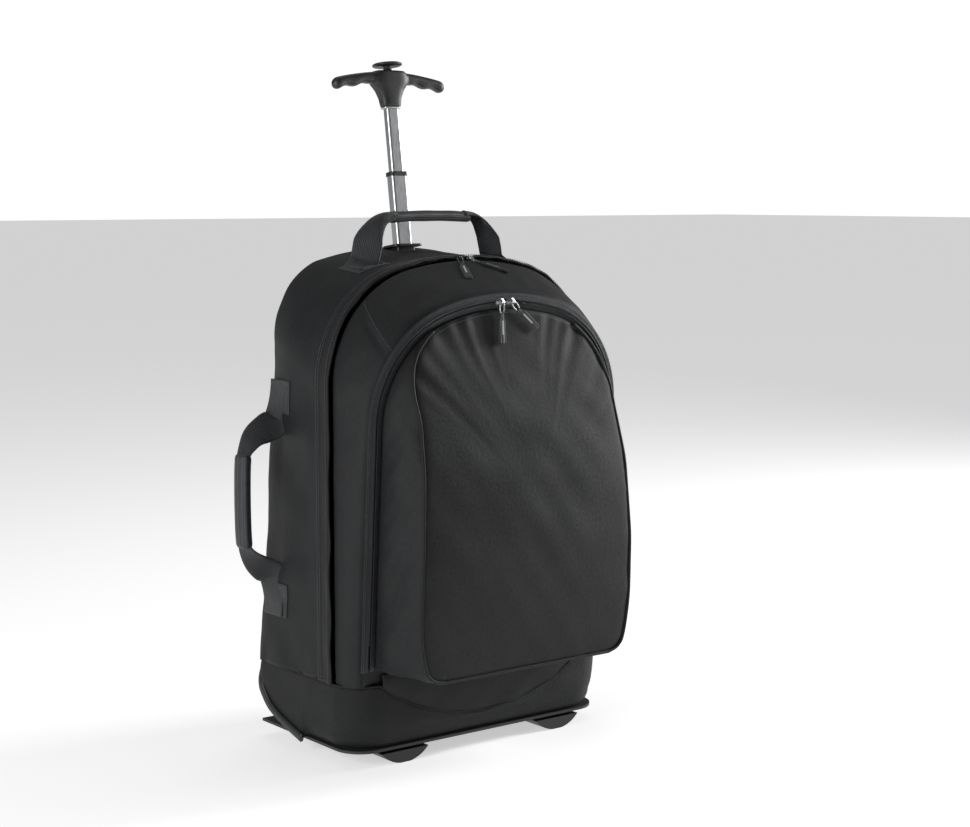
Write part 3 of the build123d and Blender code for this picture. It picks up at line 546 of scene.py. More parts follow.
# A row of small beads laid along a path: lockstitches, zip teeth and bar tacks are all made with it
bead_tree = bpy.data.node_groups.new("row_of_beads", "GeometryNodeTree")
bead_tree.interface.new_socket("Path", in_out="INPUT", socket_type="NodeSocketGeometry")
for socket, value in (("Pitch", 0.003), ("Length", 0.002), ("Width", 0.0008), ("Height", 0.0006),
                      ("Turn", 0.0),
                      ("Swing", 0.0)):
    bead_tree.interface.new_socket(socket, in_out="INPUT",
                                   socket_type="NodeSocketFloat").default_value = value
bead_tree.interface.new_socket("Thread", in_out="INPUT", socket_type="NodeSocketMaterial")
bead_tree.interface.new_socket("Beads", in_out="OUTPUT", socket_type="NodeSocketGeometry")
given = add_node(bead_tree, "NodeGroupInput")
curve = add_node(bead_tree, "GeometryNodeMeshToCurve", inputs={"Mesh": given.outputs["Path"]})
spaced = add_node(bead_tree, "GeometryNodeResampleCurve", {"mode": "LENGTH"},
                  {"Curve": curve.outputs[0], "Length": given.outputs["Pitch"]})
size = add_node(bead_tree, "ShaderNodeCombineXYZ", inputs={0: given.outputs["Length"],
                                                           1: given.outputs["Width"],
                                                          2: given.outputs["Height"]})
ball = add_node(bead_tree, "GeometryNodeMeshUVSphere", inputs={"Segments": 6, "Rings": 4, "Radius": 0.5})
shaped = add_node(bead_tree, "GeometryNodeTransform", inputs={"Geometry": ball.outputs["Mesh"],
                                                             "Scale": size.outputs[0]})
outward_name = add_node(bead_tree, "GeometryNodeInputNamedAttribute", {"data_type": "FLOAT_VECTOR"},
                        {"Name": "outward"})
along_path = add_node(bead_tree, "GeometryNodeInputTangent")
stand = add_node(bead_tree, "FunctionNodeAlignRotationToVector", {"axis": "Z"},
                 {"Vector": outward_name.outputs[0]})
faced = add_node(bead_tree, "FunctionNodeAlignRotationToVector", {"axis": "X", "pivot_axis": "Z"},
                 {"Rotation": stand.outputs[0], "Vector": along_path.outputs[0]})
number = add_node(bead_tree, "GeometryNodeInputIndex")
odd = add_node(bead_tree, "ShaderNodeMath", {"operation": "PINGPONG"}, {0: number.outputs[0], 1: 1.0})
swung = add_node(bead_tree, "ShaderNodeMath", {"operation": "MULTIPLY_ADD"},
                 {0: odd.outputs[0], 1: given.outputs["Swing"], 2: given.outputs["Turn"]})
spin = add_node(bead_tree, "ShaderNodeCombineXYZ", inputs={2: swung.outputs[0]})
laid = add_node(bead_tree, "FunctionNodeRotateRotation", {"rotation_space": "LOCAL"},
                {"Rotation": faced.outputs[0], "Rotate By": spin.outputs[0]})
row = add_node(bead_tree, "GeometryNodeInstanceOnPoints", inputs={"Points": spaced.outputs[0],
                                                                "Instance": shaped.outputs[0],
                                                                "Rotation": laid.outputs[0]})
real = add_node(bead_tree, "GeometryNodeRealizeInstances", inputs={"Geometry": row.outputs[0]})
coloured = add_node(bead_tree, "GeometryNodeSetMaterial", inputs={"Geometry": real.outputs[0],
                                                                 "Material": given.outputs["Thread"]})
smoothed = add_node(bead_tree, "GeometryNodeSetShadeSmooth", inputs={"Geometry": coloured.outputs[0]})
add_node(bead_tree, "NodeGroupOutput", inputs={0: smoothed.outputs[0]})


def beads(name, paths, finish, body, pitch, length, width, height, turn=0.0, swing=0.0):
    """Plain mesh of beads along paths; each path is points and the ways out of the surface, in mm."""
    points, edges, ways = [], [], []
    for path, out in paths:
        start = len(points)
        points += to_metres(path).tolist()
        edges += [(start + i, start + i + 1) for i in range(len(path) - 1)]
        ways += np.broadcast_to(np.asarray(out, float), (len(path), 3)).tolist()
    mesh = bpy.data.meshes.new(name + "_path")
    mesh.from_pydata(points, edges, [])
    mesh.attributes.new("outward", "FLOAT_VECTOR", "POINT").data.foreach_set("vector", np.ravel(ways))
    guide = bpy.data.objects.new(name + "_path", mesh)
    bpy.context.scene.collection.objects.link(guide)
    modifier = guide.modifiers.new("beads", "NODES")
    modifier.node_group = bead_tree
    sizes = {"Pitch": pitch * MM, "Length": length * MM, "Width": width * MM, "Height": height * MM,
             "Turn": turn, "Swing": swing, "Thread": finish}
    for item in bead_tree.interface.items_tree:
        if item.item_type == "SOCKET" and item.name in sizes:
            modifier[item.identifier] = sizes[item.name]
    bpy.context.view_layer.update()
    evaluated = guide.evaluated_get(bpy.context.evaluated_depsgraph_get())
    solid = bpy.data.meshes.new_from_object(evaluated)
    solid.name = name
    bpy.data.objects.remove(guide)
    made = bpy.data.objects.new(name, solid)
    bpy.context.scene.collection.objects.link(made)
    return settle(made, body, ())


# Bonded polyester sewing thread, three-ply and slightly glossy; the contrast thread is light grey
THREAD_BLACK, thread_tree, thread_shader = new_finish("bonded_thread_black", {"Roughness": 0.42,
                                                                              "Sheen Weight": 0.1})
ply = add_node(thread_tree, "ShaderNodeTexNoise", inputs={"Scale": 900.0, "Detail": 2.0})
ply_tone = add_node(thread_tree, "ShaderNodeMix", {"data_type": "RGBA"},
                    {0: ply.outputs[0], 6: hex_colour("#242527"), 7: hex_colour("#4c4e52")})
thread_tree.links.new(ply_tone.outputs[2], thread_shader.inputs["Base Color"])


def arch_stitches(y, rise, section=ZIP_SECTION):
    """A stitch line over the bag's arch at this depth, standing this far out."""
    line = arch_line(section, SEAM_Z + 2, -rise, COUNT)
    path = np.stack([line[:, 0], np.full(COUNT, y), line[:, 1]], axis=1)
    way = np.gradient(line, axis=0)
    return path, np.stack([-way[:, 1], np.zeros(COUNT), way[:, 0]], axis=1)


beads("flap_stitches", [arch_stitches(7.0, 1.9), arch_stitches(2.6, 2.05), arch_stitches(-14.0, 4.0)],
      THREAD_BLACK, "bag", 3.4, 2.6, 0.95, 0.7)
seam_paths = []
for place, shift in ((SEAM_AT, 2.2), (1 - SEAM_AT, -2.2)):
    column = place * (COUNT - 1) + shift
    low, part = column.astype(int), (column % 1)[:, None]
    rank = np.arange(26)
    path = cover_rows[rank, low] * (1 - part) + cover_rows[rank, low + 1] * part
    seam_paths.append((path[1:-1] + cover_out[rank, low][1:-1] * 0.2, cover_out[rank, low][1:-1]))
beads("cover_seam_stitches", seam_paths, THREAD_BLACK, "front_cover", 3.4, 2.6, 0.9, 0.6)


# ------------------------------------------------------------------ zips
# Moulded coil zips on woven polyester tape: the main zip hides under the flap, and the pocket zip runs bare
# round the front panel. Each coil is two rows of nylon loops that mesh along the middle of the tape.
ZIP_TAPE = woven("zip_tape", "#1f2022", "#3a3c3f", 0.0011, 0.8, 0.62, 0.10)
NYLON, nylon_tree, nylon_shader = new_finish("nylon_coil", {"Roughness": 0.33, "Specular IOR Level": 0.5})
coil_noise = add_node(nylon_tree, "ShaderNodeTexNoise", inputs={"Scale": 240.0, "Detail": 2.0})
coil_tone = add_node(nylon_tree, "ShaderNodeMix", {"data_type": "RGBA"},
                     {0: coil_noise.outputs[0], 6: hex_colour("#1f2022"), 7: hex_colour("#3c3e42")})
nylon_tree.links.new(coil_tone.outputs[2], nylon_shader.inputs["Base Color"])
ZIP_LOW = 50.0         # the zips stop this far up the front panel's flanks
LEAN_OUT = np.array((0, -math.cos(LEAN), -math.sin(LEAN)))


def pocket_line(inset, n, low_s=ZIP_LOW):
    return lean_arch(inset, n, low_s)


for name, body, first, last in (("pocket_zip_outer", "front_cover", -TAPE_HALF + 0.4, -1.4),
                                ("pocket_zip_inner", "pocket", 1.4, TAPE_HALF - 1.6)):
    tape_rows = np.array([pocket_line(inset,
                                      2.3 + 1.1 * math.exp(-(inset / 3.2) ** 2)
                                       - 1.4 * (abs(inset) / 9) ** 2, 14.0)
                          for inset in np.linspace(first, last, 9)])
    panel(name + "_tape_cloth", tape_rows, ZIP_TAPE, body, (name + "_tape",), thick=0.9)
beads("pocket_coil_outer", [(pocket_line(-1.45, 3.7, 44.0), LEAN_OUT)], NYLON, "front_cover", 2.1, 3.0,
      1.35, 1.7,
      turn=math.pi / 2 + 0.18)
beads("pocket_coil_inner", [(pocket_line(1.45, 3.7, 44.0), LEAN_OUT)], NYLON, "pocket", 2.1, 3.0, 1.35, 1.7,
      turn=math.pi / 2 - 0.18)
beads("pocket_tape_stitches", [(pocket_line(-6.6, 2.0, 14.0), LEAN_OUT)],
      THREAD_BLACK, "front_cover", 3.2, 2.5, 0.6, 0.45)

for name, body, y0, y1 in (("main_zip_front", "front_cover", COVER_EDGE, -18.0),
                           ("main_zip_rear", "bag", -16.6, -12.8)):
    tape_rows = []
    for y in np.linspace(y0, y1, 5):
        line = arch_line(ZIP_SECTION, SEAM_Z + 1, 6.4, COUNT)
        tape_rows.append(np.stack([line[:, 0], np.full(COUNT, y), line[:, 1]], axis=1))
    panel(name + "_tape_cloth", tape_rows, ZIP_TAPE, body, (name + "_tape",), thick=0.8)
coil_line = arch_line(ZIP_SECTION, SEAM_Z + 3, 5.6, COUNT)
coil_way = np.gradient(coil_line, axis=0)
coil_way = np.stack([-coil_way[:, 1], np.zeros(COUNT), coil_way[:, 0]], axis=1)
for name, body, y, lean_way in (("main_coil_front", "front_cover", -18.3, 1),
                                ("main_coil_rear", "bag", -16.3, -1)):
    path = np.stack([coil_line[:, 0], np.full(COUNT, y), coil_line[:, 1]], axis=1)
    beads(name, [(path, coil_way)], NYLON, body, 2.2, 2.0, 1.3, 1.6, turn=math.pi / 2 + 0.15 * lean_way)


# ------------------------------------------------------------------ front pocket
# A deep pocket that hangs forward: a padded face piped round its sides and foot, a crescent of gusset on each
# side that narrows to nothing near the top, and a flat underside. The whole face opens along its zip.
FACE_LOW, FACE_MERGE = 17.0, 370.0
FACE_WIDTHS = ((17, 112), (20, 124), (27, 131.5), (40, 136), (60, 139), (80, 140.5), (146, 139), (229, 134.5),
               (286, 129.5))
FACE_DEPTHS = ((0, 78), (17, 76), (46, 73), (80, 72), (146, 69.5), (229, 58), (286, 40), (335, 16),
               (362, 7.5),
               (389, 3.6), (420, 3.0))
ZIP_INNER = 7.6
depth_at = np.arange(0, 420.5, 1.0)
depth_line = np.interp(depth_at, *np.array(FACE_DEPTHS, float).T)
depth_line = np.convolve(np.pad(depth_line, 14, mode="edge"), np.ones(29) / 29, "valid")


def face_depth(s):
    """How far the pocket's face stands out from the leaning plane at height s."""
    return np.interp(s, depth_at, depth_line)


zip_inner = arch_line(POCKET_SECTION, FACE_LOW, ZIP_INNER, 601)
half_way = zip_inner[:301]
merge_at = np.argmax(half_way[:, 1] > FACE_MERGE)
heights = np.linspace(FACE_LOW, FACE_MERGE, 160)
knots = np.array(FACE_WIDTHS, float)
zip_half_at = np.interp(heights, half_way[:, 1], -half_way[:, 0])
gap = np.interp(286.0, half_way[:, 1], -half_way[:, 0]) - knots[-1, 1]
closing = gap * (1 - np.clip((heights - 286) / (FACE_MERGE - 286), 0, 1)) ** 1.2
widths = np.where(heights > 286, zip_half_at - closing, np.interp(heights, knots[:, 0], knots[:, 1]))
kernel = np.ones(9) / 9
widths[10:-2] = np.convolve(np.pad(widths, 4, mode="edge"), kernel, "valid")[10:-2]
side = np.stack([-widths, heights], axis=1)
FOOT_HALF = 112.0
crown = zip_inner[merge_at:601 - merge_at]
foot = np.stack([np.linspace(-FOOT_HALF, FOOT_HALF, 90)[1:-1], np.full(88, FACE_LOW)], axis=1)


def even(line, count):
    """The same line with evenly spaced points."""
    run = np.concatenate([[0], np.cumsum(np.linalg.norm(np.diff(line, axis=0), axis=1))])
    places = np.linspace(0, run[-1], count)
    return np.stack([np.interp(places, run, line[:, k]) for k in range(line.shape[1])], axis=1)


side_even, crown_even = even(side, 120), even(crown, 240)
loop = np.vstack([side_even[:-1], crown_even[:-1], (side_even * (-1, 1))[::-1][:-1], foot[::-1]])
loop = np.vstack([loop, loop[:1]])
crown_run = np.clip((loop[:, 1] - 275) / 80, 0, 1)
loop_run = np.concatenate([[0], np.cumsum(np.linalg.norm(np.diff(loop, axis=0), axis=1))])
pull_in = np.clip(0.45 + 0.9 * np.sin(loop_run / 71.0 + 0.6) * np.sin(loop_run / 23.0 + 2.2), 0.05, 1.2)
pucker_wave = pull_in * (np.sin(loop_run / 5.2 + 3.0 * np.sin(loop_run / 61.0))
                         + 0.6 * np.sin(loop_run / 9.3 + 1.0)
               + 0.4 * np.sin(loop_run / 3.1 + 2.0 * np.sin(loop_run / 37.0)))

# The padding's fullness: the shape of a membrane blown up inside the face's outline
CELL = 5.0
grid_x, grid_s = np.meshgrid(np.arange(-160, 161, CELL), np.arange(0, 411, CELL))
loop_fine = even(loop, 900)
turns = np.arctan2(loop_fine[:, 1] - 200, loop_fine[:, 0])
order = np.argsort(turns)
reach = np.hypot(loop_fine[:, 0], loop_fine[:, 1] - 200)[order]
inside = np.hypot(grid_x, grid_s - 200) < np.interp(np.arctan2(grid_s - 200, grid_x), turns[order], reach)
blown = np.zeros(grid_x.shape)
for _ in range(2500):
    around = (np.roll(blown, 1, 0) + np.roll(blown, -1, 0) + np.roll(blown, 1, 1) + np.roll(blown, -1, 1)) / 4
    blown = np.where(inside, around + 1.0, 0.0)
blown = (blown / blown.max()) ** 0.75


def fullness_at(x, s):
    """Share of the padding's full height at a place on the face."""
    across = np.clip((x + 160) / CELL, 0, blown.shape[1] - 1.001)
    along = np.clip(s / CELL, 0, blown.shape[0] - 1.001)
    i, j = along.astype(int), across.astype(int)
    p, q = along - i, across - j
    return ((1 - p) * (1 - q) * blown[i, j] + p * (1 - q) * blown[i + 1, j] + (1 - p) * q * blown[i, j + 1]
            + p * q * blown[i + 1, j + 1])


FACE_HEART = (0.0, 200.0)
face_rows, face_lay = [], []
for share in 1 - np.linspace(0, 1, 60) ** 1.25:
    x = loop[:, 0] * share
    s = FACE_HEART[1] + (loop[:, 1] - FACE_HEART[1]) * share
    edge = 1 - share
    dome = 8.0 * fullness_at(x, s) * np.clip((395 - s) / 90, 0.35, 1)
    lip = 2.6 * (1 - np.exp(-edge / 0.018)) - 1.2
    pull = (pucker_wave * 1.8 * crown_run * np.exp(-edge / (0.07 + 0.10 * pull_in))
            * (1 - math.exp(-edge / 0.012)))
    pull = pull + pucker_wave * 0.28 * (1 - crown_run) * np.exp(-edge / 0.05) * (1 - math.exp(-edge / 0.012))
    n = face_depth(s) + dome + lip + pull
    face_rows.append(leaning(x, s, n))
    face_lay.append(np.stack([x, s], axis=1))
face_rows = np.array(face_rows)
face_soft = (drift(face_rows, 130, 21) * 1.5 + drift(face_rows, 45,
                                                     22) * 0.45) * np.linspace(0, 1, 60)[:, None] ** 0.5
face_rows += LEAN_OUT * face_soft[:, :, None]
face_cloth = panel("pocket_face_cloth", face_rows, CLOTH, "pocket", ("pocket_face",), thick=1.6,
                   lay=np.array(face_lay), heart=np.array((0, -60.0, 250)))

# Side gussets: ruled from the zip's inner tape to the piping, a little full
gusset_base = even(half_way[:merge_at + 1], 120)
gusset_edge = side_even
for mirror, name in ((1, "left"), (-1, "right")):
    rows = []
    for share in np.linspace(0, 1, 30):
        flat = gusset_base + (gusset_edge - gusset_base) * share
        rim = face_depth(gusset_edge[:, 1])
        n = 0.8 + (rim - 0.8) * share
        rows.append(leaning(flat[:, 0], flat[:, 1], n))
    rows = np.array(rows)
    if mirror < 0:
        rows[:, :, 0] *= -1
    out = facing(rows)
    if (out * (rows - (0, -90, 250))).sum() < 0:
        out = -out
    share_out = np.linspace(0, 1, 30)[:, None]
    puff = np.sin(math.pi * share_out) ** 0.8 * np.clip((FACE_MERGE - gusset_base[:, 1]) / 90, 0, 1)
    run = np.arange(120) * 2.7
    wave = np.sin(run / 6.0 + 2.4 * np.sin(run / 50.0 + mirror)) * np.exp(-share_out / 0.3) * 0.7
    rows += out * (puff * (4.5 + drift(rows, 60, 23) * 1.5 + drift(rows, 24, 24) * 0.5 + wave))[:, :, None]
    panel(f"pocket_gusset_cloth_{name}", rows, CLOTH, "pocket", ("pocket_gusset",), thick=1.4,
          heart=np.array((0, -90.0, 250)))

# Underside: closes the pocket between its foot and the front panel
under_rows = []
for share in np.linspace(0, 1, 24):
    x = np.linspace(-1, 1, 80) * (gusset_base[0, 0] * (1 - share) + side_even[0, 0] * share)
    n = 0.8 + (face_depth(FACE_LOW) - 0.8) * share
    sag = 2.0 * math.sin(math.pi * share) * (1 - np.linspace(-1, 1, 80) ** 2)
    under_rows.append(leaning(x, FACE_LOW - sag, n))
panel("pocket_underside", under_rows, CLOTH, "pocket", thick=1.4, heart=np.array((0, -90.0, 250)))

# Piping round the sides and the foot of the face
rim_path = np.vstack([side_even[::-1], foot, side_even * (-1, 1)])
rim_path = even(rim_path, 420)
piping_path = leaning(rim_path[:, 0], rim_path[:, 1], face_depth(rim_path[:, 1]) + 0.4)
sweep("pocket_piping_cord", piping_path, ring(1.9, 8), LEAN_OUT, WELT, "pocket", ("pocket_piping",))

# A row of stitches just inside the zip, all round the crown
stitch_loop = even(arch_line(POCKET_SECTION, 60.0, ZIP_INNER + 3.4, 601), 400)
stitch_loop = stitch_loop[stitch_loop[:, 1] > FACE_MERGE - 4]
edge_depth = face_depth(stitch_loop[:, 1]) + 2.4
beads("pocket_crown_stitches", [(leaning(stitch_loop[:, 0], stitch_loop[:, 1], edge_depth), LEAN_OUT)],
      THREAD_BLACK, "pocket", 3.2, 2.5, 0.6, 0.45)


# ------------------------------------------------------------------ top handle
# Ribbed polypropylene webbing, 38 mm wide, box-stitched to the crown at both ends. The middle is folded
# into a padded cloth grip.
RIB = 0.0022           # the webbing's ribs are 1.6 mm apart, drawn a little wider so that they show


def ribbed(name, colour, worn, rib, depth):
    """Webbing: raised lengthwise ribs crossed by a fine weft, on the piece's own cloth coordinates."""
    finish, tree, shader = new_finish(name, {"Roughness": 0.5, "Sheen Weight": 0.12, "Sheen Roughness": 0.4,
                                             "Specular IOR Level": 0.4})
    place = add_node(tree, "ShaderNodeUVMap", {"uv_map": "cloth"})
    split = add_node(tree, "ShaderNodeSeparateXYZ", inputs={0: place.outputs[0]})
    waves = []
    for axis, spacing in ((0, rib), (1, 0.0013)):
        turn = add_node(tree, "ShaderNodeMath", {"operation": "MULTIPLY"},
                        {0: split.outputs[axis], 1: math.pi / spacing})
        wave = add_node(tree, "ShaderNodeMath", {"operation": "SINE"}, {0: turn.outputs[0]})
        waves.append(add_node(tree, "ShaderNodeMath", {"operation": "ABSOLUTE"}, {0: wave.outputs[0]}))
    height = add_node(tree, "ShaderNodeMath", {"operation": "MULTIPLY_ADD"},
                      {0: waves[1].outputs[0], 1: 0.3, 2: waves[0].outputs[0]})
    wear = add_node(tree, "ShaderNodeTexNoise", inputs={"Vector": place.outputs[0], "Scale": 60.0,
                                                        "Detail": 5.0})
    tone = add_node(tree, "ShaderNodeMath", {"operation": "MULTIPLY"},
                    {0: height.outputs[0], 1: wear.outputs[0]})
    mixed = add_node(tree, "ShaderNodeMix", {"data_type": "RGBA"},
                     {0: tone.outputs[0], 6: hex_colour(colour), 7: hex_colour(worn)})
    tree.links.new(mixed.outputs[2], shader.inputs["Base Color"])
    bump = add_node(tree, "ShaderNodeBump", inputs={"Height": height.outputs[0], "Strength": depth,
                                                    "Distance": 0.0005})
    tree.links.new(bump.outputs[0], shader.inputs["Normal"])
    return finish


WEBBING = ribbed("polypropylene_webbing", "#151617", "#303235", RIB, 0.8)
GRIP_WRAP = ribbed("grip_webbing", "#1b1c1d", "#3a3c40", 0.0042, 0.9)


def curve_through(points, count):
    """A smooth line of evenly spaced points through these corners."""
    points = np.array(points, float)
    ends = np.vstack([2 * points[0] - points[1], points, 2 * points[-1] - points[-2]])
    line = []
    for a, b, c, d in zip(ends[:-3], ends[1:-2], ends[2:-1], ends[3:]):
        for t in np.linspace(0, 1, 16, endpoint=False):
            line.append(0.5 * (2 * b + (c - a) * t + (2 * a - 5 * b + 4 * c - d) * t ** 2
                               + (3 * b - a - 3 * c + d) * t ** 3))
    return even(np.array(line + [points[-1]]), count)


def gusset_at(y):
    """The rear gusset's own row of points nearest this depth."""
    return gusset_cloth_rows[np.argmin(np.abs(gusset_cloth_rows[:, 160, 1] - y))]


def crown_z(x, y):
    row = gusset_at(y)
    top = row[row[:, 2] > 440]
    order = np.argsort(top[:, 0])
    return np.interp(x, top[order, 0], top[order, 2])


def side_x(z, y):
    row = gusset_at(y)
    left = row[(row[:, 0] < 0) & (row[:, 2] < 520)]
    order = np.argsort(left[:, 2])
    return np.interp(z, left[order, 2], left[order, 0])


def patch(name, rows, body, finish, lift, stands_for=()):
    """A square of webbing sewn flat: rows of points on the surface, raised by its own thickness."""
    rows = np.array(rows, float)
    out = facing(rows)
    out *= np.sign((out * (rows - HEART)).sum())
    return panel(name, rows + out * lift, finish, body, stands_for, thick=1.3), rows + out * (lift + 0.2), out


def box_stitch(rows, out, margin):
    """Paths of a stitched box with a cross, on a patch's rows."""
    count, width = rows.shape[:2]
    corner = [(margin, margin), (margin, 1 - margin), (1 - margin, 1 - margin), (1 - margin, margin)]
    runs = [(corner[i], corner[(i + 1) % 4]) for i in range(4)] + [(corner[0], corner[2]),
                                                                   (corner[1], corner[3])]
    paths = []
    for (a, b), (c, d) in runs:
        i = (np.linspace(a, c, 24) * (count - 1)).round().astype(int)
        j = (np.linspace(b, d, 24) * (width - 1)).round().astype(int)
        paths.append((rows[i, j], out[i, j]))
    return paths


TOP_ANCHOR, TOP_Y, TOP_HALF = 85.0, 46.5, 54.5
stitch_paths = []
for sign, name in ((-1, "left"), (1, "right")):
    lines = []
    for x in np.linspace(TOP_ANCHOR - 17, TOP_ANCHOR + 21, 24):
        y = np.linspace(TOP_Y - 20, TOP_Y + 20, 24)
        lines.append(np.stack([np.full(24, sign * x), y, [crown_z(sign * x, v) for v in y]], axis=1))
    lines = np.array(lines)
    _, raised, out = patch(f"top_handle_patch_{name}", lines, "bag", WEBBING, 1.2,
                           ("top_handle_patches",) if sign < 0 else ())
    stitch_paths += box_stitch(raised, out, 0.1)
    base = crown_z(sign * TOP_ANCHOR, TOP_Y)
    leg_line = curve_through([(sign * (TOP_ANCHOR + 18), TOP_Y,
                               crown_z(sign * (TOP_ANCHOR + 18), TOP_Y) + 2.6),
                              (sign * (TOP_ANCHOR + 8), TOP_Y, crown_z(sign * (TOP_ANCHOR + 8), TOP_Y) + 2.8),
                              (sign * (TOP_ANCHOR + 1.5), TOP_Y, base + 5.5),
                              (sign * (TOP_ANCHOR - 1), TOP_Y, base + 16), (sign * 80, TOP_Y, 555),
                              (sign * 71, TOP_Y, 568), (sign * 60, TOP_Y, 574.2),
                              (sign * 46, TOP_Y, 575.8)], 70)
    share = np.linspace(0, 1, 70)
    narrow = np.interp(share, (0, 0.45, 0.8, 1), (1, 0.92, 0.5, 0.42))
    outline = strap(36.0, 1.9)[None] * np.stack([narrow, np.ones(70)], axis=1)[:, None]
    curl = np.where(narrow < 0.9, (0.9 - narrow) * 12, 0)[:, None]
    outline[:, :, 1] += curl * (1 - (np.abs(outline[:, :, 0]) / 9) ** 1.5)
    lean_over = (-0.9 if sign < 0 else 0.25) * np.sin(share * math.pi)
    up = np.column_stack([np.full(70, sign), lean_over, np.full(70, 0.4)])
    leg = sweep(f"top_handle_leg_{name}", leg_line, outline, up, WEBBING, None,
                ("top_handle_webbing",) if sign < 0 else ())
    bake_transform(leg)
beads("top_patch_stitches", stitch_paths, THREAD_BLACK, "bag", 3.0, 2.4, 0.7, 0.5)

grip_line = curve_through([(-TOP_HALF, TOP_Y, 574.8), (-30, TOP_Y, 576.2), (0, TOP_Y, 576.6),
                           (30, TOP_Y, 576.2),
                           (TOP_HALF, TOP_Y, 574.8)], 90)
end_round = np.clip(1 - np.abs(np.linspace(-1, 1, 90)), 0, 0.06) / 0.06
fatness = (0.80 + 0.20 * np.sqrt(end_round)) * (1 + 0.02 * np.sin(np.arange(90) / 5.0))
grip = sweep("top_handle_grip_wrap", grip_line, ring(6.6, 20, 5.9)[None] * fatness[:, None, None], (0, 0, 1),
             GRIP_WRAP, "top_handle", ("top_handle_grip",))
seam = grip_line + (0, -5.0, -3.2)
beads("top_grip_stitches", [(seam[3:-3], (0, -0.85, -0.5))], THREAD_BLACK, "top_handle", 3.0, 2.4, 0.7, 0.5)


# ------------------------------------------------------------------ side handle
# The same webbing on the bag's left side: sewn flat at both ends, it twists out to a grip of doubled webbing.
SIDE_Y, SIDE_GRIP_X = 95.0, -213.5
PATCH_FRONT, PATCH_REAR = 25.0, 19.0      # how far each sewn patch reaches either side of the handle
stitch_paths = []
for name, low_z, high_z, grip_end, way_up in (("low", 144.0, 180.0, 222.0, 1),
                                              ("high", 365.0, 401.0, 323.0, -1)):
    lines = []
    for z in np.linspace(low_z, high_z, 24):
        y = np.linspace(SIDE_Y - PATCH_FRONT, SIDE_Y + PATCH_REAR, 24)
        lines.append(np.stack([[side_x(z, v) for v in y], y, np.full(24, z)], axis=1))
    lines = np.array(lines)
    _, raised, out = patch(f"side_handle_patch_{name}", lines, "bag", WEBBING, 1.0,
                           ("side_handle_patches",) if name == "low" else ())
    stitch_paths += box_stitch(raised, out, 0.1)
    outer, inner = (low_z, high_z) if way_up > 0 else (high_z, low_z)
    wall_x = side_x(inner, SIDE_Y)
    leg_line = curve_through([(side_x(outer, SIDE_Y) - 2.4, SIDE_Y, outer), (wall_x - 2.6, SIDE_Y, inner),
                              (wall_x - 5.5, SIDE_Y, inner + way_up * 9), (-196, SIDE_Y, inner + way_up * 22),
                              (-207, SIDE_Y, grip_end - way_up * 8), (-212.5, SIDE_Y, grip_end + way_up * 3),
                              (SIDE_GRIP_X, SIDE_Y, grip_end + way_up * 14)], 70)
    share = np.linspace(0, 1, 70)
    narrow = np.interp(share, (0, 0.5, 0.85, 1), (1, 0.95, 0.6, 0.56))
    outline = strap(36.0, 1.9)[None] * np.stack([narrow, np.ones(70)], axis=1)[:, None]
    twist = 1.1 * np.exp(-((share - 0.55) / 0.25) ** 2)
    up = np.column_stack([-np.ones(70), -twist, np.full(70, -0.3 * way_up)])
    leg = sweep(f"side_handle_leg_{name}", leg_line, outline, up, WEBBING, None,
                ("side_handle_webbing",) if name == "low" else ())
    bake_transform(leg)
beads("side_patch_stitches", stitch_paths, THREAD_BLACK, "bag", 3.0, 2.4, 0.7, 0.5)
grip_line = curve_through([(SIDE_GRIP_X + 1.2, SIDE_Y, 222), (SIDE_GRIP_X, SIDE_Y, 240),
                           (SIDE_GRIP_X - 0.5, SIDE_Y, 272),
                           (SIDE_GRIP_X, SIDE_Y, 305), (SIDE_GRIP_X + 1.2, SIDE_Y, 323)], 70)
end_round = np.clip(1 - np.abs(np.linspace(-1, 1, 70)), 0, 0.08) / 0.08
fatness = 0.78 + 0.22 * np.sqrt(end_round)
turn = np.linspace(0, 2 * math.pi, 28, endpoint=False)
oval = np.stack([11.5 * np.sign(np.cos(turn)) * np.abs(np.cos(turn)) ** 0.7,
                 6.6 * np.sign(np.sin(turn)) * np.abs(np.sin(turn)) ** 0.8], axis=1)
grip = sweep("side_handle_grip_wrap", grip_line, oval[None] * fatness[:, None, None], (-1, 0, 0), GRIP_WRAP,
             "side_handle", ("side_handle_grip",))
edge_seams = [(grip_line + (-3.6, sign * 9.6, 0), (-0.7, sign * 0.7, 0)) for sign in (-1, 1)]
beads("side_grip_stitches", [(path[3:-3], out) for path, out in edge_seams], THREAD_BLACK, "side_handle",
      3.0, 2.4,
      0.7, 0.5)


# ------------------------------------------------------------------ zip sliders and pulls
# Die-cast sliders with an arched bridge and a wire loop, each with a tab of folded webbing whose bar tack is
# sewn in light grey thread.
NICKEL, nickel_tree, nickel_shader = new_finish("nickel_plated_zinc", {"Metallic": 1.0, "Roughness": 0.28})
worn = add_node(nickel_tree, "ShaderNodeTexNoise", inputs={"Scale": 320.0, "Detail": 5.0})
worn_tone = add_node(nickel_tree, "ShaderNodeMix", {"data_type": "RGBA"},
                     {0: worn.outputs[0], 6: hex_colour("#6f7072"), 7: hex_colour("#b4b5b6")})
nickel_tree.links.new(worn_tone.outputs[2], nickel_shader.inputs["Base Color"])
worn_rough = add_node(nickel_tree, "ShaderNodeMapRange", inputs={"Value": worn.outputs[0], "To Min": 0.2,
                                                                "To Max": 0.42})
nickel_tree.links.new(worn_rough.outputs[0], nickel_shader.inputs["Roughness"])
GUNMETAL, gun_tree, gun_shader = new_finish("gunmetal_plated_zinc", {"Metallic": 1.0})
gun_noise = add_node(gun_tree, "ShaderNodeTexNoise", inputs={"Scale": 320.0, "Detail": 5.0})
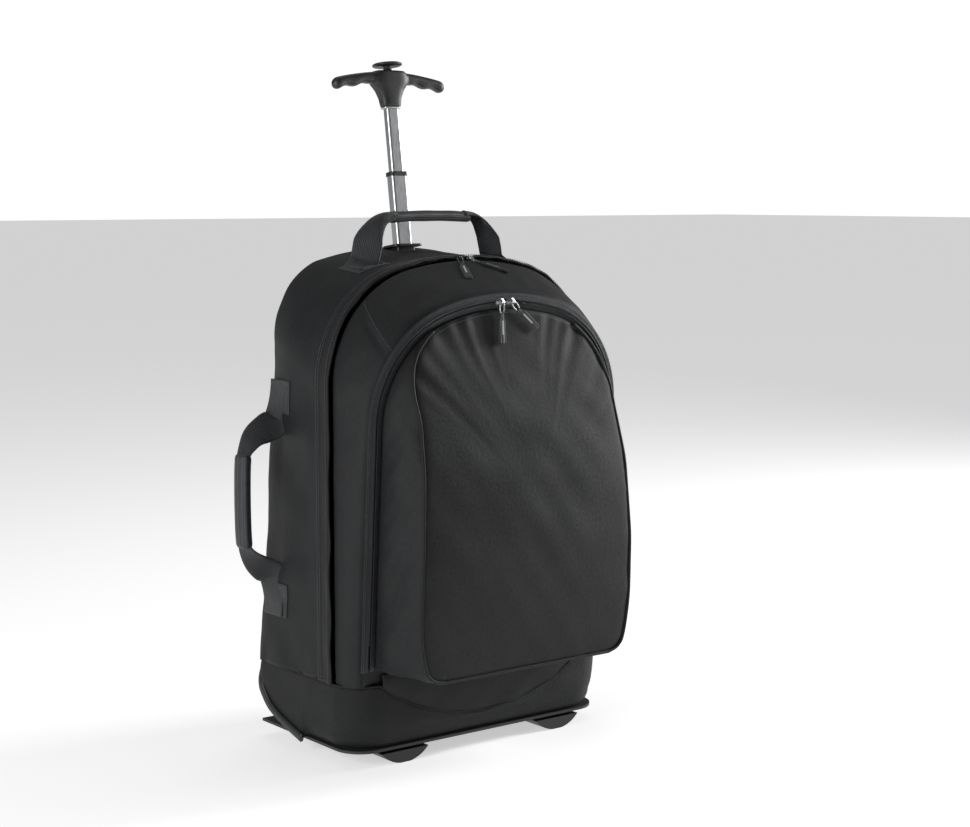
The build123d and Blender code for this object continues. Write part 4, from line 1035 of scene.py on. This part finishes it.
gun_tone = add_node(gun_tree, "ShaderNodeMix", {"data_type": "RGBA"},
                    {0: gun_noise.outputs[0], 6: hex_colour("#3a3b3d"), 7: hex_colour("#6a6b6d")})
gun_tree.links.new(gun_tone.outputs[2], gun_shader.inputs["Base Color"])
gun_rough = add_node(gun_tree, "ShaderNodeMapRange", inputs={"Value": gun_noise.outputs[0], "To Min": 0.25,
                                                            "To Max": 0.45})
gun_tree.links.new(gun_rough.outputs[0], gun_shader.inputs["Roughness"])
THREAD_GREY, grey_tree, grey_shader = new_finish("bar_tack_thread_grey",
                                                 {"Roughness": 0.5, "Sheen Weight": 0.2})
grey_noise = add_node(grey_tree, "ShaderNodeTexNoise", inputs={"Scale": 1500.0, "Detail": 2.0})
grey_tone = add_node(grey_tree, "ShaderNodeMix", {"data_type": "RGBA"},
                     {0: grey_noise.outputs[0], 6: hex_colour("#8d9092"), 7: hex_colour("#c6c8ca")})
grey_tree.links.new(grey_tone.outputs[2], grey_shader.inputs["Base Color"])
SLIDER_AT = 7.0


def slab(shape, size, round_by, place=(0, 0, 0)):
    """Adds a rounded block to a bmesh: size and place in mm along the frame's own three directions."""
    made = bmesh.ops.create_cube(shape, size=1.0)["verts"]
    for v in made:
        v.co = Vector((v.co[i] * size[i] + place[i] for i in range(3)))
    edges = list({e for v in made for e in v.link_edges})
    made = bmesh.ops.bevel(shape, geom=edges, offset=round_by, segments=3, affect="EDGES")
    return made


def hardware(name, shape, frame_of, finish, body, stands_for=()):
    """Turns a bmesh in a local frame (origin, across, down, out; mm) into a finished piece."""
    origin, across, down, out = (np.asarray(v, float) for v in frame_of)
    turn = np.stack([across, down, out], axis=1)
    for v in shape.verts:
        v.co = Vector(to_metres(turn @ np.array(v.co) + origin))
    bmesh.ops.recalc_face_normals(shape, faces=shape.faces)
    mesh = bpy.data.meshes.new(name)
    shape.to_mesh(mesh)
    shape.free()
    mesh.shade_smooth()
    mesh.materials.append(finish)
    made = bpy.data.objects.new(name, mesh)
    bpy.context.scene.collection.objects.link(made)
    return settle(made, body, stands_for)


def slider_and_pull(zip_name, side, origin, across, down, out, metal, fall, sway):
    """A slider at origin with its loop and tab; down is the way along the surface, fall the tab's own way."""
    across, down, out, fall = (np.asarray(v, float) / np.linalg.norm(v) for v in (across, down, out, fall))
    shape = bmesh.new()
    slab(shape, (10.5, 7.6, 1.7), 0.8)
    slab(shape, (9.0, 5.6, 1.5), 0.7, (0, 0, 2.6))
    slab(shape, (3.2, 2.6, 2.4), 0.5, (3.0, 0, 1.2))
    bridge = [(-3.6, 0, 3.0), (-2.6, 0, 5.0), (0, 0, 5.6), (2.6, 0, 5.0), (3.6, 0, 3.0)]
    for (x0, _, z0), (x1, _, z1) in zip(bridge[:-1], bridge[1:]):
        slab(shape, (abs(x1 - x0) + 1.0, 2.6, 1.2), 0.35, ((x0 + x1) / 2, 0, (z0 + z1) / 2))
    hardware(f"{zip_name}_slider_body_{side}", shape, (origin + out * 0.6, across, down, out), metal,
             f"{zip_name}_slider_{side}_body", (f"{zip_name}_slider_{side}",))
    root = origin + out * 5.2
    lean_in = np.cross(out, fall)
    reach = np.linspace(0, 2 * math.pi, 28, endpoint=False)
    loop_line = np.array([root + fall * (5.8 - 6.6 * math.cos(t)) + lean_in * 2.9 * math.sin(t)
                          - out * (1.2 * (1 - math.cos(t))) for t in reach])
    sweep(f"{zip_name}_pull_loop_{side}", loop_line, ring(0.85, 8), out, metal,
                 f"{zip_name}_pull_{side}_body", closed=True)
    tab_start = root + fall * 10.6 - out * 2.2
    tab_line = curve_through([tab_start, tab_start + fall * 4 - out * 0.3,
                              tab_start + fall * 14 + lean_in * sway - out * 0.5,
                              tab_start + fall * 33 + lean_in * sway * 2 - out * 1.2], 34)
    width = np.interp(np.linspace(0, 1, 34), (0, 0.1, 0.3, 0.93, 1), (0.52, 0.6, 1.0, 1.0, 0.9))
    outline = strap(9.6, 2.6)[None] * np.stack([width, np.ones(34)], axis=1)[:, None]
    sweep(f"{zip_name}_pull_tab_{side}", tab_line, outline, out, WEBBING, f"{zip_name}_pull_{side}_body",
          (f"{zip_name}_pull_{side}",))
    tack = tab_line[9:24]
    beads(f"{zip_name}_pull_tack_{side}", [(tack + out * 1.45, out)], THREAD_GREY,
          f"{zip_name}_pull_{side}_body",
          0.9, 2.3, 1.0, 0.6, turn=math.pi / 2)


main_z = ZIP_SECTION["top_z"] - 5.6
for sign, side, metal, fall, sway in ((-1, "left", GUNMETAL, (-0.38, -1, -0.46), -0.5),
                                      (1, "right", NICKEL, (1.05, -0.85, -0.40), 0.5)):
    slider_and_pull("main", side, np.array((sign * SLIDER_AT, -17.3, main_z + 1.6)), (1, 0, 0), (0, -1, 0),
                    (0, 0, 1), metal, fall, sway)
crown_at = leaning(0, POCKET_SECTION["top_z"] - 0.3, 3.4)
DOWN_LEAN = np.array((0, math.sin(LEAN), -math.cos(LEAN)))
for sign, side, fall, sway in ((-1, "left", (-0.03, -0.16, -1), -0.5),
                               (1, "right", (0.85, -0.13, -0.85), 0.8)):
    slider_and_pull("pocket", side, crown_at + (sign * SLIDER_AT, 0, 0), (1, 0, 0), DOWN_LEAN, LEAN_OUT,
                    NICKEL,
                    fall, sway)


# ------------------------------------------------------------------ trolley pole
# Three rectangular tubes of drawn and anodised aluminium that telescope, with a moulded collar on the lower
# stage and a moulded outlet where the pole leaves the bag.
ALUMINIUM, metal_tree, metal_shader = new_finish("anodised_aluminium", {"Metallic": 1.0, "Anisotropic": 0.35})
metal_place = add_node(metal_tree, "ShaderNodeTexCoord")
drawn = add_node(metal_tree, "ShaderNodeMapping", {"vector_type": "POINT"},
                 {"Vector": metal_place.outputs["Object"], "Scale": (900.0, 900.0, 7.0)})
draw_lines = add_node(metal_tree, "ShaderNodeTexNoise", inputs={"Vector": drawn.outputs[0], "Scale": 1.0,
                                                               "Detail": 3.0})
metal_tone = add_node(metal_tree, "ShaderNodeMix", {"data_type": "RGBA"},
                      {0: draw_lines.outputs[0], 6: hex_colour("#a9abad"), 7: hex_colour("#cfd1d2")})
metal_rough = add_node(metal_tree, "ShaderNodeMapRange",
                       inputs={"Value": draw_lines.outputs[0], "To Min": 0.24,
                                                                "To Max": 0.40})
metal_tree.links.new(metal_tone.outputs[2], metal_shader.inputs["Base Color"])
metal_tree.links.new(metal_rough.outputs[0], metal_shader.inputs["Roughness"])

# ABS, injection moulded with a fine spark-eroded texture: satin black, a little greyer in random cloudy patches
ABS, abs_tree, abs_shader = new_finish("moulded_abs", {"Specular IOR Level": 0.5})
abs_place = add_node(abs_tree, "ShaderNodeTexCoord")
abs_grain = add_node(abs_tree, "ShaderNodeTexNoise", inputs={"Vector": abs_place.outputs["Object"],
                                                            "Scale": 1400.0, "Detail": 3.0})
abs_cloud = add_node(abs_tree, "ShaderNodeTexNoise", inputs={"Vector": abs_place.outputs["Object"],
                                                            "Scale": 45.0, "Detail": 4.0})
abs_tone = add_node(abs_tree, "ShaderNodeMix", {"data_type": "RGBA"},
                    {0: abs_cloud.outputs[0], 6: hex_colour("#121314"), 7: hex_colour("#202123")})
abs_rough = add_node(abs_tree, "ShaderNodeMapRange", inputs={"Value": abs_cloud.outputs[0], "To Min": 0.36,
                                                            "To Max": 0.54})
abs_bump = add_node(abs_tree, "ShaderNodeBump", inputs={"Height": abs_grain.outputs[0], "Strength": 0.12,
                                                       "Distance": 0.0003})
abs_tree.links.new(abs_tone.outputs[2], abs_shader.inputs["Base Color"])
abs_tree.links.new(abs_rough.outputs[0], abs_shader.inputs["Roughness"])
abs_tree.links.new(abs_bump.outputs[0], abs_shader.inputs["Normal"])


def dress(finish, *names):
    """Gives CAD nodes their finish."""
    for name in names:
        slots = NODES[name].material_slots
        if slots:
            for slot in slots:
                slot.material = finish
        else:
            NODES[name].data.materials.append(finish)


dress(ALUMINIUM, "outer_tube", "lower_stage", "upper_stage", "release_rod")
dress(ABS, "stage_collar", "pole_outlet", "lower_catch_block", "upper_catch_block", "pole_foot")

TILT = math.radians(8.0)
OUTLET = np.array((0, 97.5, 537.0))
POLE_UP = np.array((0, math.sin(TILT), math.cos(TILT)))
POLE_FRONT = np.array((0, -math.cos(TILT), math.sin(TILT)))


def pole_point(x, front, t):
    """A point given across, forward and up from the pole's outlet."""
    return OUTLET + np.array((x, 0, 0)) + POLE_FRONT * front + POLE_UP * t


# The T grip: two drooping arms with finger rests below, a block in the middle and a neck that takes the pole
NECK_FOOT, NECK_LENGTH, BLOCK_HEIGHT, ARM_HALF = 162.0, 25.0, 16.0, 76.0
grip_shape = bmesh.new()


def add_loft(shape, sections):
    """Adds a closed loft through rings of points, all with the same count."""
    rings = [[shape.verts.new(to_metres(p)) for p in section] for section in sections]
    count = len(rings[0])
    for a, b in zip(rings[:-1], rings[1:]):
        for i in range(count):
            shape.faces.new((a[i], a[(i + 1) % count], b[(i + 1) % count], b[i]))
    shape.faces.new(rings[0][::-1])
    shape.faces.new(rings[-1])


def squircle(half_x, half_y, power, count=28):
    turn = np.linspace(0, 2 * math.pi, count, endpoint=False)
    return np.stack([half_x * np.sign(np.cos(turn)) * np.abs(np.cos(turn)) ** power,
                     half_y * np.sign(np.sin(turn)) * np.abs(np.sin(turn)) ** power], axis=1)


arm_sections = []
block_top = NECK_FOOT + NECK_LENGTH + BLOCK_HEIGHT
for x in np.linspace(-ARM_HALF, ARM_HALF, 97):
    near_end = min(1.0, (ARM_HALF - abs(x)) / 7.5)
    cap = math.sqrt(max(1 - (1 - near_end) ** 2, 0.02))
    droop = 9.5 * (abs(x) / ARM_HALF) ** 1.8
    bumps = 1.3 * math.cos((abs(x) - 47) / 24 * 2 * math.pi) * (abs(x) > 26) * min(1.0,
                                                                                   (abs(x) - 26) / 8) * near_end
    half_up, half_front = (6.4 + bumps / 2) * cap, (8.2 - 1.2 * abs(x) / ARM_HALF) * cap
    mid = block_top - 7.2 - droop - bumps / 2
    arm_sections.append([pole_point(x, b, mid + a) for b, a in squircle(half_front, half_up, 0.8)])
add_loft(grip_shape, arm_sections)
neck_sections = []
for t, half_x, half_y in ((NECK_FOOT, 11.6, 7.6), (NECK_FOOT + 2, 12.0, 8.0), (NECK_FOOT + 10, 13.4, 8.6),
                          (NECK_FOOT + 19, 17.5, 9.6), (NECK_FOOT + 26, 23.5, 10.8),
                          (NECK_FOOT + 33, 24.5, 11.4),
                          (block_top - 3, 22.0, 11.6), (block_top - 0.6, 19.5, 10.6)):
    neck_sections.append([pole_point(a, b, t) for a, b in squircle(half_x, half_y, 0.62)])
add_loft(grip_shape, neck_sections)
bmesh.ops.recalc_face_normals(grip_shape, faces=grip_shape.faces)
grip_mesh = bpy.data.meshes.new("pull_grip")
grip_shape.to_mesh(grip_mesh)
grip_shape.free()
rough_grip = bpy.data.objects.new("pull_grip", grip_mesh)
bpy.context.scene.collection.objects.link(rough_grip)
join = rough_grip.modifiers.new("one_moulding", "REMESH")
join.mode, join.voxel_size = "VOXEL", 0.0011
ease = rough_grip.modifiers.new("eased_edges", "SMOOTH")
ease.factor, ease.iterations = 0.5, 9
bpy.context.view_layer.update()
grip_mesh = bpy.data.meshes.new_from_object(rough_grip.evaluated_get(bpy.context.evaluated_depsgraph_get()))
bpy.data.objects.remove(rough_grip)
grip_mesh.shade_smooth()
grip_mesh.materials.clear()
grip_mesh.materials.append(ABS)
pull_grip = bpy.data.objects.new("pull_grip", grip_mesh)
bpy.context.scene.collection.objects.link(pull_grip)
settle(pull_grip, "upper_pole", ("grip_bar",))

# A bright trim ring at the neck's foot, over the upper stage
trim = [pole_point(a, b, NECK_FOOT - 0.9) for a, b in squircle(10.2, 6.6, 0.5)]
sweep("neck_trim", trim, ring(1.0, 8), POLE_UP, ALUMINIUM, "upper_pole", closed=True)

# The release button: a domed disc on a stem, held just above the block by its spring
button_t = block_top + 4.0 + 1.2
profile = [(4.8, -22), (4.8, -0.6), (5.2, 0), (15.6, 0.0), (16.6, 0.5), (17.0, 1.4), (16.7, 2.3), (15.6, 3.0),
           (12, 3.45), (7, 3.7), (2.5, 3.8)]
button_shape = bmesh.new()
turns = np.linspace(0, 2 * math.pi, 48, endpoint=False)
add_loft(button_shape, [[pole_point(r * math.cos(a), r * math.sin(a), button_t + t) for a in turns]
                        for r, t in profile])
bmesh.ops.recalc_face_normals(button_shape, faces=button_shape.faces)
button_mesh = bpy.data.meshes.new("release_button")
button_shape.to_mesh(button_mesh)
button_shape.free()
button_mesh.shade_smooth()
button_mesh.materials.append(ABS)
button = bpy.data.objects.new("release_button", button_mesh)
bpy.context.scene.collection.objects.link(button)
settle(button, "button", ("push_button",))


# ------------------------------------------------------------------ wheels, housings and feet
# Skate wheels with a soft tyre on a ribbed hub, in moulded housings. A skirt edges each of the boot's cut
# corners. Two half-round moulded feet stand under the front.
RUBBER, rubber_tree, rubber_shader = new_finish("polyurethane_tyre", {"Specular IOR Level": 0.4})
rubber_place = add_node(rubber_tree, "ShaderNodeTexCoord")
dust = add_node(rubber_tree, "ShaderNodeTexNoise", inputs={"Vector": rubber_place.outputs["Object"],
                                                          "Scale": 120.0, "Detail": 6.0})
rubber_tone = add_node(rubber_tree, "ShaderNodeMix", {"data_type": "RGBA"},
                       {0: dust.outputs[0], 6: hex_colour("#141414"), 7: hex_colour("#2b2b2a")})
rubber_rough = add_node(rubber_tree, "ShaderNodeMapRange", inputs={"Value": dust.outputs[0], "To Min": 0.55,
                                                                  "To Max": 0.8})
rubber_tree.links.new(rubber_tone.outputs[2], rubber_shader.inputs["Base Color"])
rubber_tree.links.new(rubber_rough.outputs[0], rubber_shader.inputs["Roughness"])
STEEL, steel_tree, steel_shader = new_finish("zinc_plated_steel", {"Metallic": 1.0})
steel_noise = add_node(steel_tree, "ShaderNodeTexNoise", inputs={"Scale": 200.0, "Detail": 5.0})
steel_tone = add_node(steel_tree, "ShaderNodeMix", {"data_type": "RGBA"},
                      {0: steel_noise.outputs[0], 6: hex_colour("#8b8d90"), 7: hex_colour("#bfc1c3")})
steel_rough = add_node(steel_tree, "ShaderNodeMapRange",
                       inputs={"Value": steel_noise.outputs[0], "To Min": 0.3,
                                                                "To Max": 0.5})
steel_tree.links.new(steel_tone.outputs[2], steel_shader.inputs["Base Color"])
steel_tree.links.new(steel_rough.outputs[0], steel_shader.inputs["Roughness"])
BOARD, board_tree, board_shader = new_finish("polyethylene_board", {"Roughness": 0.6})
board_noise = add_node(board_tree, "ShaderNodeTexNoise", inputs={"Scale": 90.0, "Detail": 5.0})
board_tone = add_node(board_tree, "ShaderNodeMix", {"data_type": "RGBA"},
                      {0: board_noise.outputs[0], 6: hex_colour("#1c1d1e"), 7: hex_colour("#2a2b2d")})
board_tree.links.new(board_tone.outputs[2], board_shader.inputs["Base Color"])
dress(RUBBER, "tyre_left", "tyre_right")
dress(STEEL, "axle_left", "axle_right", "foot_screws", "pole_screws")
dress(BOARD, "base_board", "back_board")
dress(ABS, "wheel_housing_left", "wheel_housing_right", "front_foot_left", "front_foot_right")

for sign, name in ((-1, "left"), (1, "right")):
    # Hub: a drum with a recessed web and six ribs on each face, closed round the axle
    low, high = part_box(f"wheel_{name}")
    centre = np.array(((low[0] + high[0]) / 2 / MM - MIDDLE, (low[1] + high[1]) / 2 / MM,
                       (low[2] + high[2]) / 2 / MM))
    rim_radius, half = (high[2] - low[2]) / 2 / MM, (high[0] - low[0]) / 2 / MM
    hub_shape = bmesh.new()
    turns = np.linspace(0, 2 * math.pi, 72, endpoint=False)
    hub_profile = [(3.3, -half + 0.4), (5.8, -half + 0.4), (6.2, -half + 0.9), (6.6, -half + 3.2),
                   (15.6, -half + 3.4),
                   (16.4, -half + 0.8), (17.0, -half + 0.2), (rim_radius - 0.3, -half + 0.2)]
    hub_profile += [(r, -x) for r, x in hub_profile[::-1]]
    rings = []
    for r, x in hub_profile:
        rings.append([])
        for a in turns:
            lift = 2.2 * math.exp(-((math.sin(3 * a)) / 0.25) ** 2) if 6.4 < r < 16 else 0.0
            at = centre + (x + (-lift if x < 0 else lift), r * math.cos(a), r * math.sin(a))
            rings[-1].append(hub_shape.verts.new(to_metres(at)))
    for a, b in zip(rings, rings[1:] + rings[:1]):
        for i in range(72):
            hub_shape.faces.new((a[i], a[(i + 1) % 72], b[(i + 1) % 72], b[i]))
    bmesh.ops.recalc_face_normals(hub_shape, faces=hub_shape.faces)
    hub_mesh = bpy.data.meshes.new(f"wheel_hub_{name}")
    hub_shape.to_mesh(hub_mesh)
    hub_shape.free()
    hub_mesh.shade_smooth()
    hub_mesh.materials.append(ABS)
    hub = bpy.data.objects.new(f"wheel_hub_{name}", hub_mesh)
    bpy.context.scene.collection.objects.link(hub)
    settle(hub, f"wheel_{name}_body", (f"wheel_{name}",))

    # Skirt: a moulded strip over the edge of the boot's cut, proud of the cloth, with a rolled lower edge
    skirt_line = curve_through([(0, y, BOOT_LOW + rise + 1.0) for y, rise in CUT_EDGE[1:]], 60)
    skirt_line[:, 0] = sign * (BOOT_HALF + 1.2)
    skirt_line[-14:, 0] -= sign * np.linspace(0, 1, 14) ** 2 * 9
    skirt_up = np.gradient(skirt_line, axis=0)[:, [0, 2, 1]] * (0, -1, 1)
    flat = np.array([(-2.6, -3.5), (-1.8, -4.4), (0.6, -4.4), (1.6, -3.4), (1.8, 3.0), (1.0, 4.6),
                     (-0.6, 5.0),
                     (-2.0, 4.0)]) * (-sign, 1)
    sweep(f"wheel_skirt_{name}", skirt_line, flat, skirt_up, ABS, "bag")


# ------------------------------------------------------------------ floor, lights and camera
# A pale seamless floor under soft studio light: a broad light on each side and a weak one overhead.
def studio_light(name, place, aim, size, power):
    """One soft rectangular light aimed at a point."""
    lamp = bpy.data.lights.new(name, "AREA")
    lamp.shape, lamp.size, lamp.size_y, lamp.energy = "RECTANGLE", size[0], size[1], power
    made = bpy.data.objects.new(name, lamp)
    bpy.context.scene.collection.objects.link(made)
    made.location = place
    made.rotation_euler = (Vector(aim) - Vector(place)).to_track_quat("-Z", "Y").to_euler()


floor_mesh = bpy.data.meshes.new("floor")
floor_mesh.from_pydata([(-40, -40, 0), (40, -40, 0), (40, 40, 0), (-40, 40, 0)], [], [(0, 1, 2, 3)])
floor_finish, _, floor_shader = new_finish("paper_floor", {"Roughness": 0.95, "Specular IOR Level": 0.1,
                                                           "Emission Strength": 0.52})
floor_shader.inputs["Base Color"].default_value = hex_colour("#e6e6e6")
floor_shader.inputs["Emission Color"].default_value = (1, 1, 1, 1)
floor_mesh.materials.append(floor_finish)
floor = bpy.data.objects.new("floor", floor_mesh)
bpy.context.scene.collection.objects.link(floor)

studio_light("key_left", (-2.3, -0.4, 0.9), (0.02, 0.0, 0.3), (0.8, 1.3), 36)
studio_light("key_right", (2.4, -0.55, 1.0), (0.02, -0.1, 0.3), (0.7, 1.3), 60)
studio_light("overhead", (0.2, 0.6, 2.4), (0.02, 0.05, 0.2), (1.2, 0.8), 6)
world = bpy.data.worlds.new("studio")
world.use_nodes = True
backdrop = world.node_tree.nodes["Background"]
backdrop.inputs["Color"].default_value = (1, 1, 1, 1)
seen = add_node(world.node_tree, "ShaderNodeLightPath")
level = add_node(world.node_tree, "ShaderNodeMapRange", inputs={"Value": seen.outputs["Is Camera Ray"],
                                                               "To Min": 0.15, "To Max": 1.02})
world.node_tree.links.new(level.outputs[0], backdrop.inputs["Strength"])
bpy.context.scene.world = world
bpy.context.scene.view_settings.view_transform = "Standard"

lens = bpy.data.cameras.new("camera")
lens.lens, lens.sensor_width = 70.8, 36.0
lens.clip_start, lens.clip_end = 0.05, 200
camera = bpy.data.objects.new("camera", lens)
bpy.context.scene.collection.objects.link(camera)
DOWN = math.radians(6.55)
camera.location = (-1.224, -1.6655, 0.600)
camera.rotation_euler = Vector((0.6115 * math.cos(DOWN), 0.791 * math.cos(DOWN), -math.sin(DOWN))
                               ).to_track_quat("-Z", "Y").to_euler()
bpy.context.scene.camera = camera
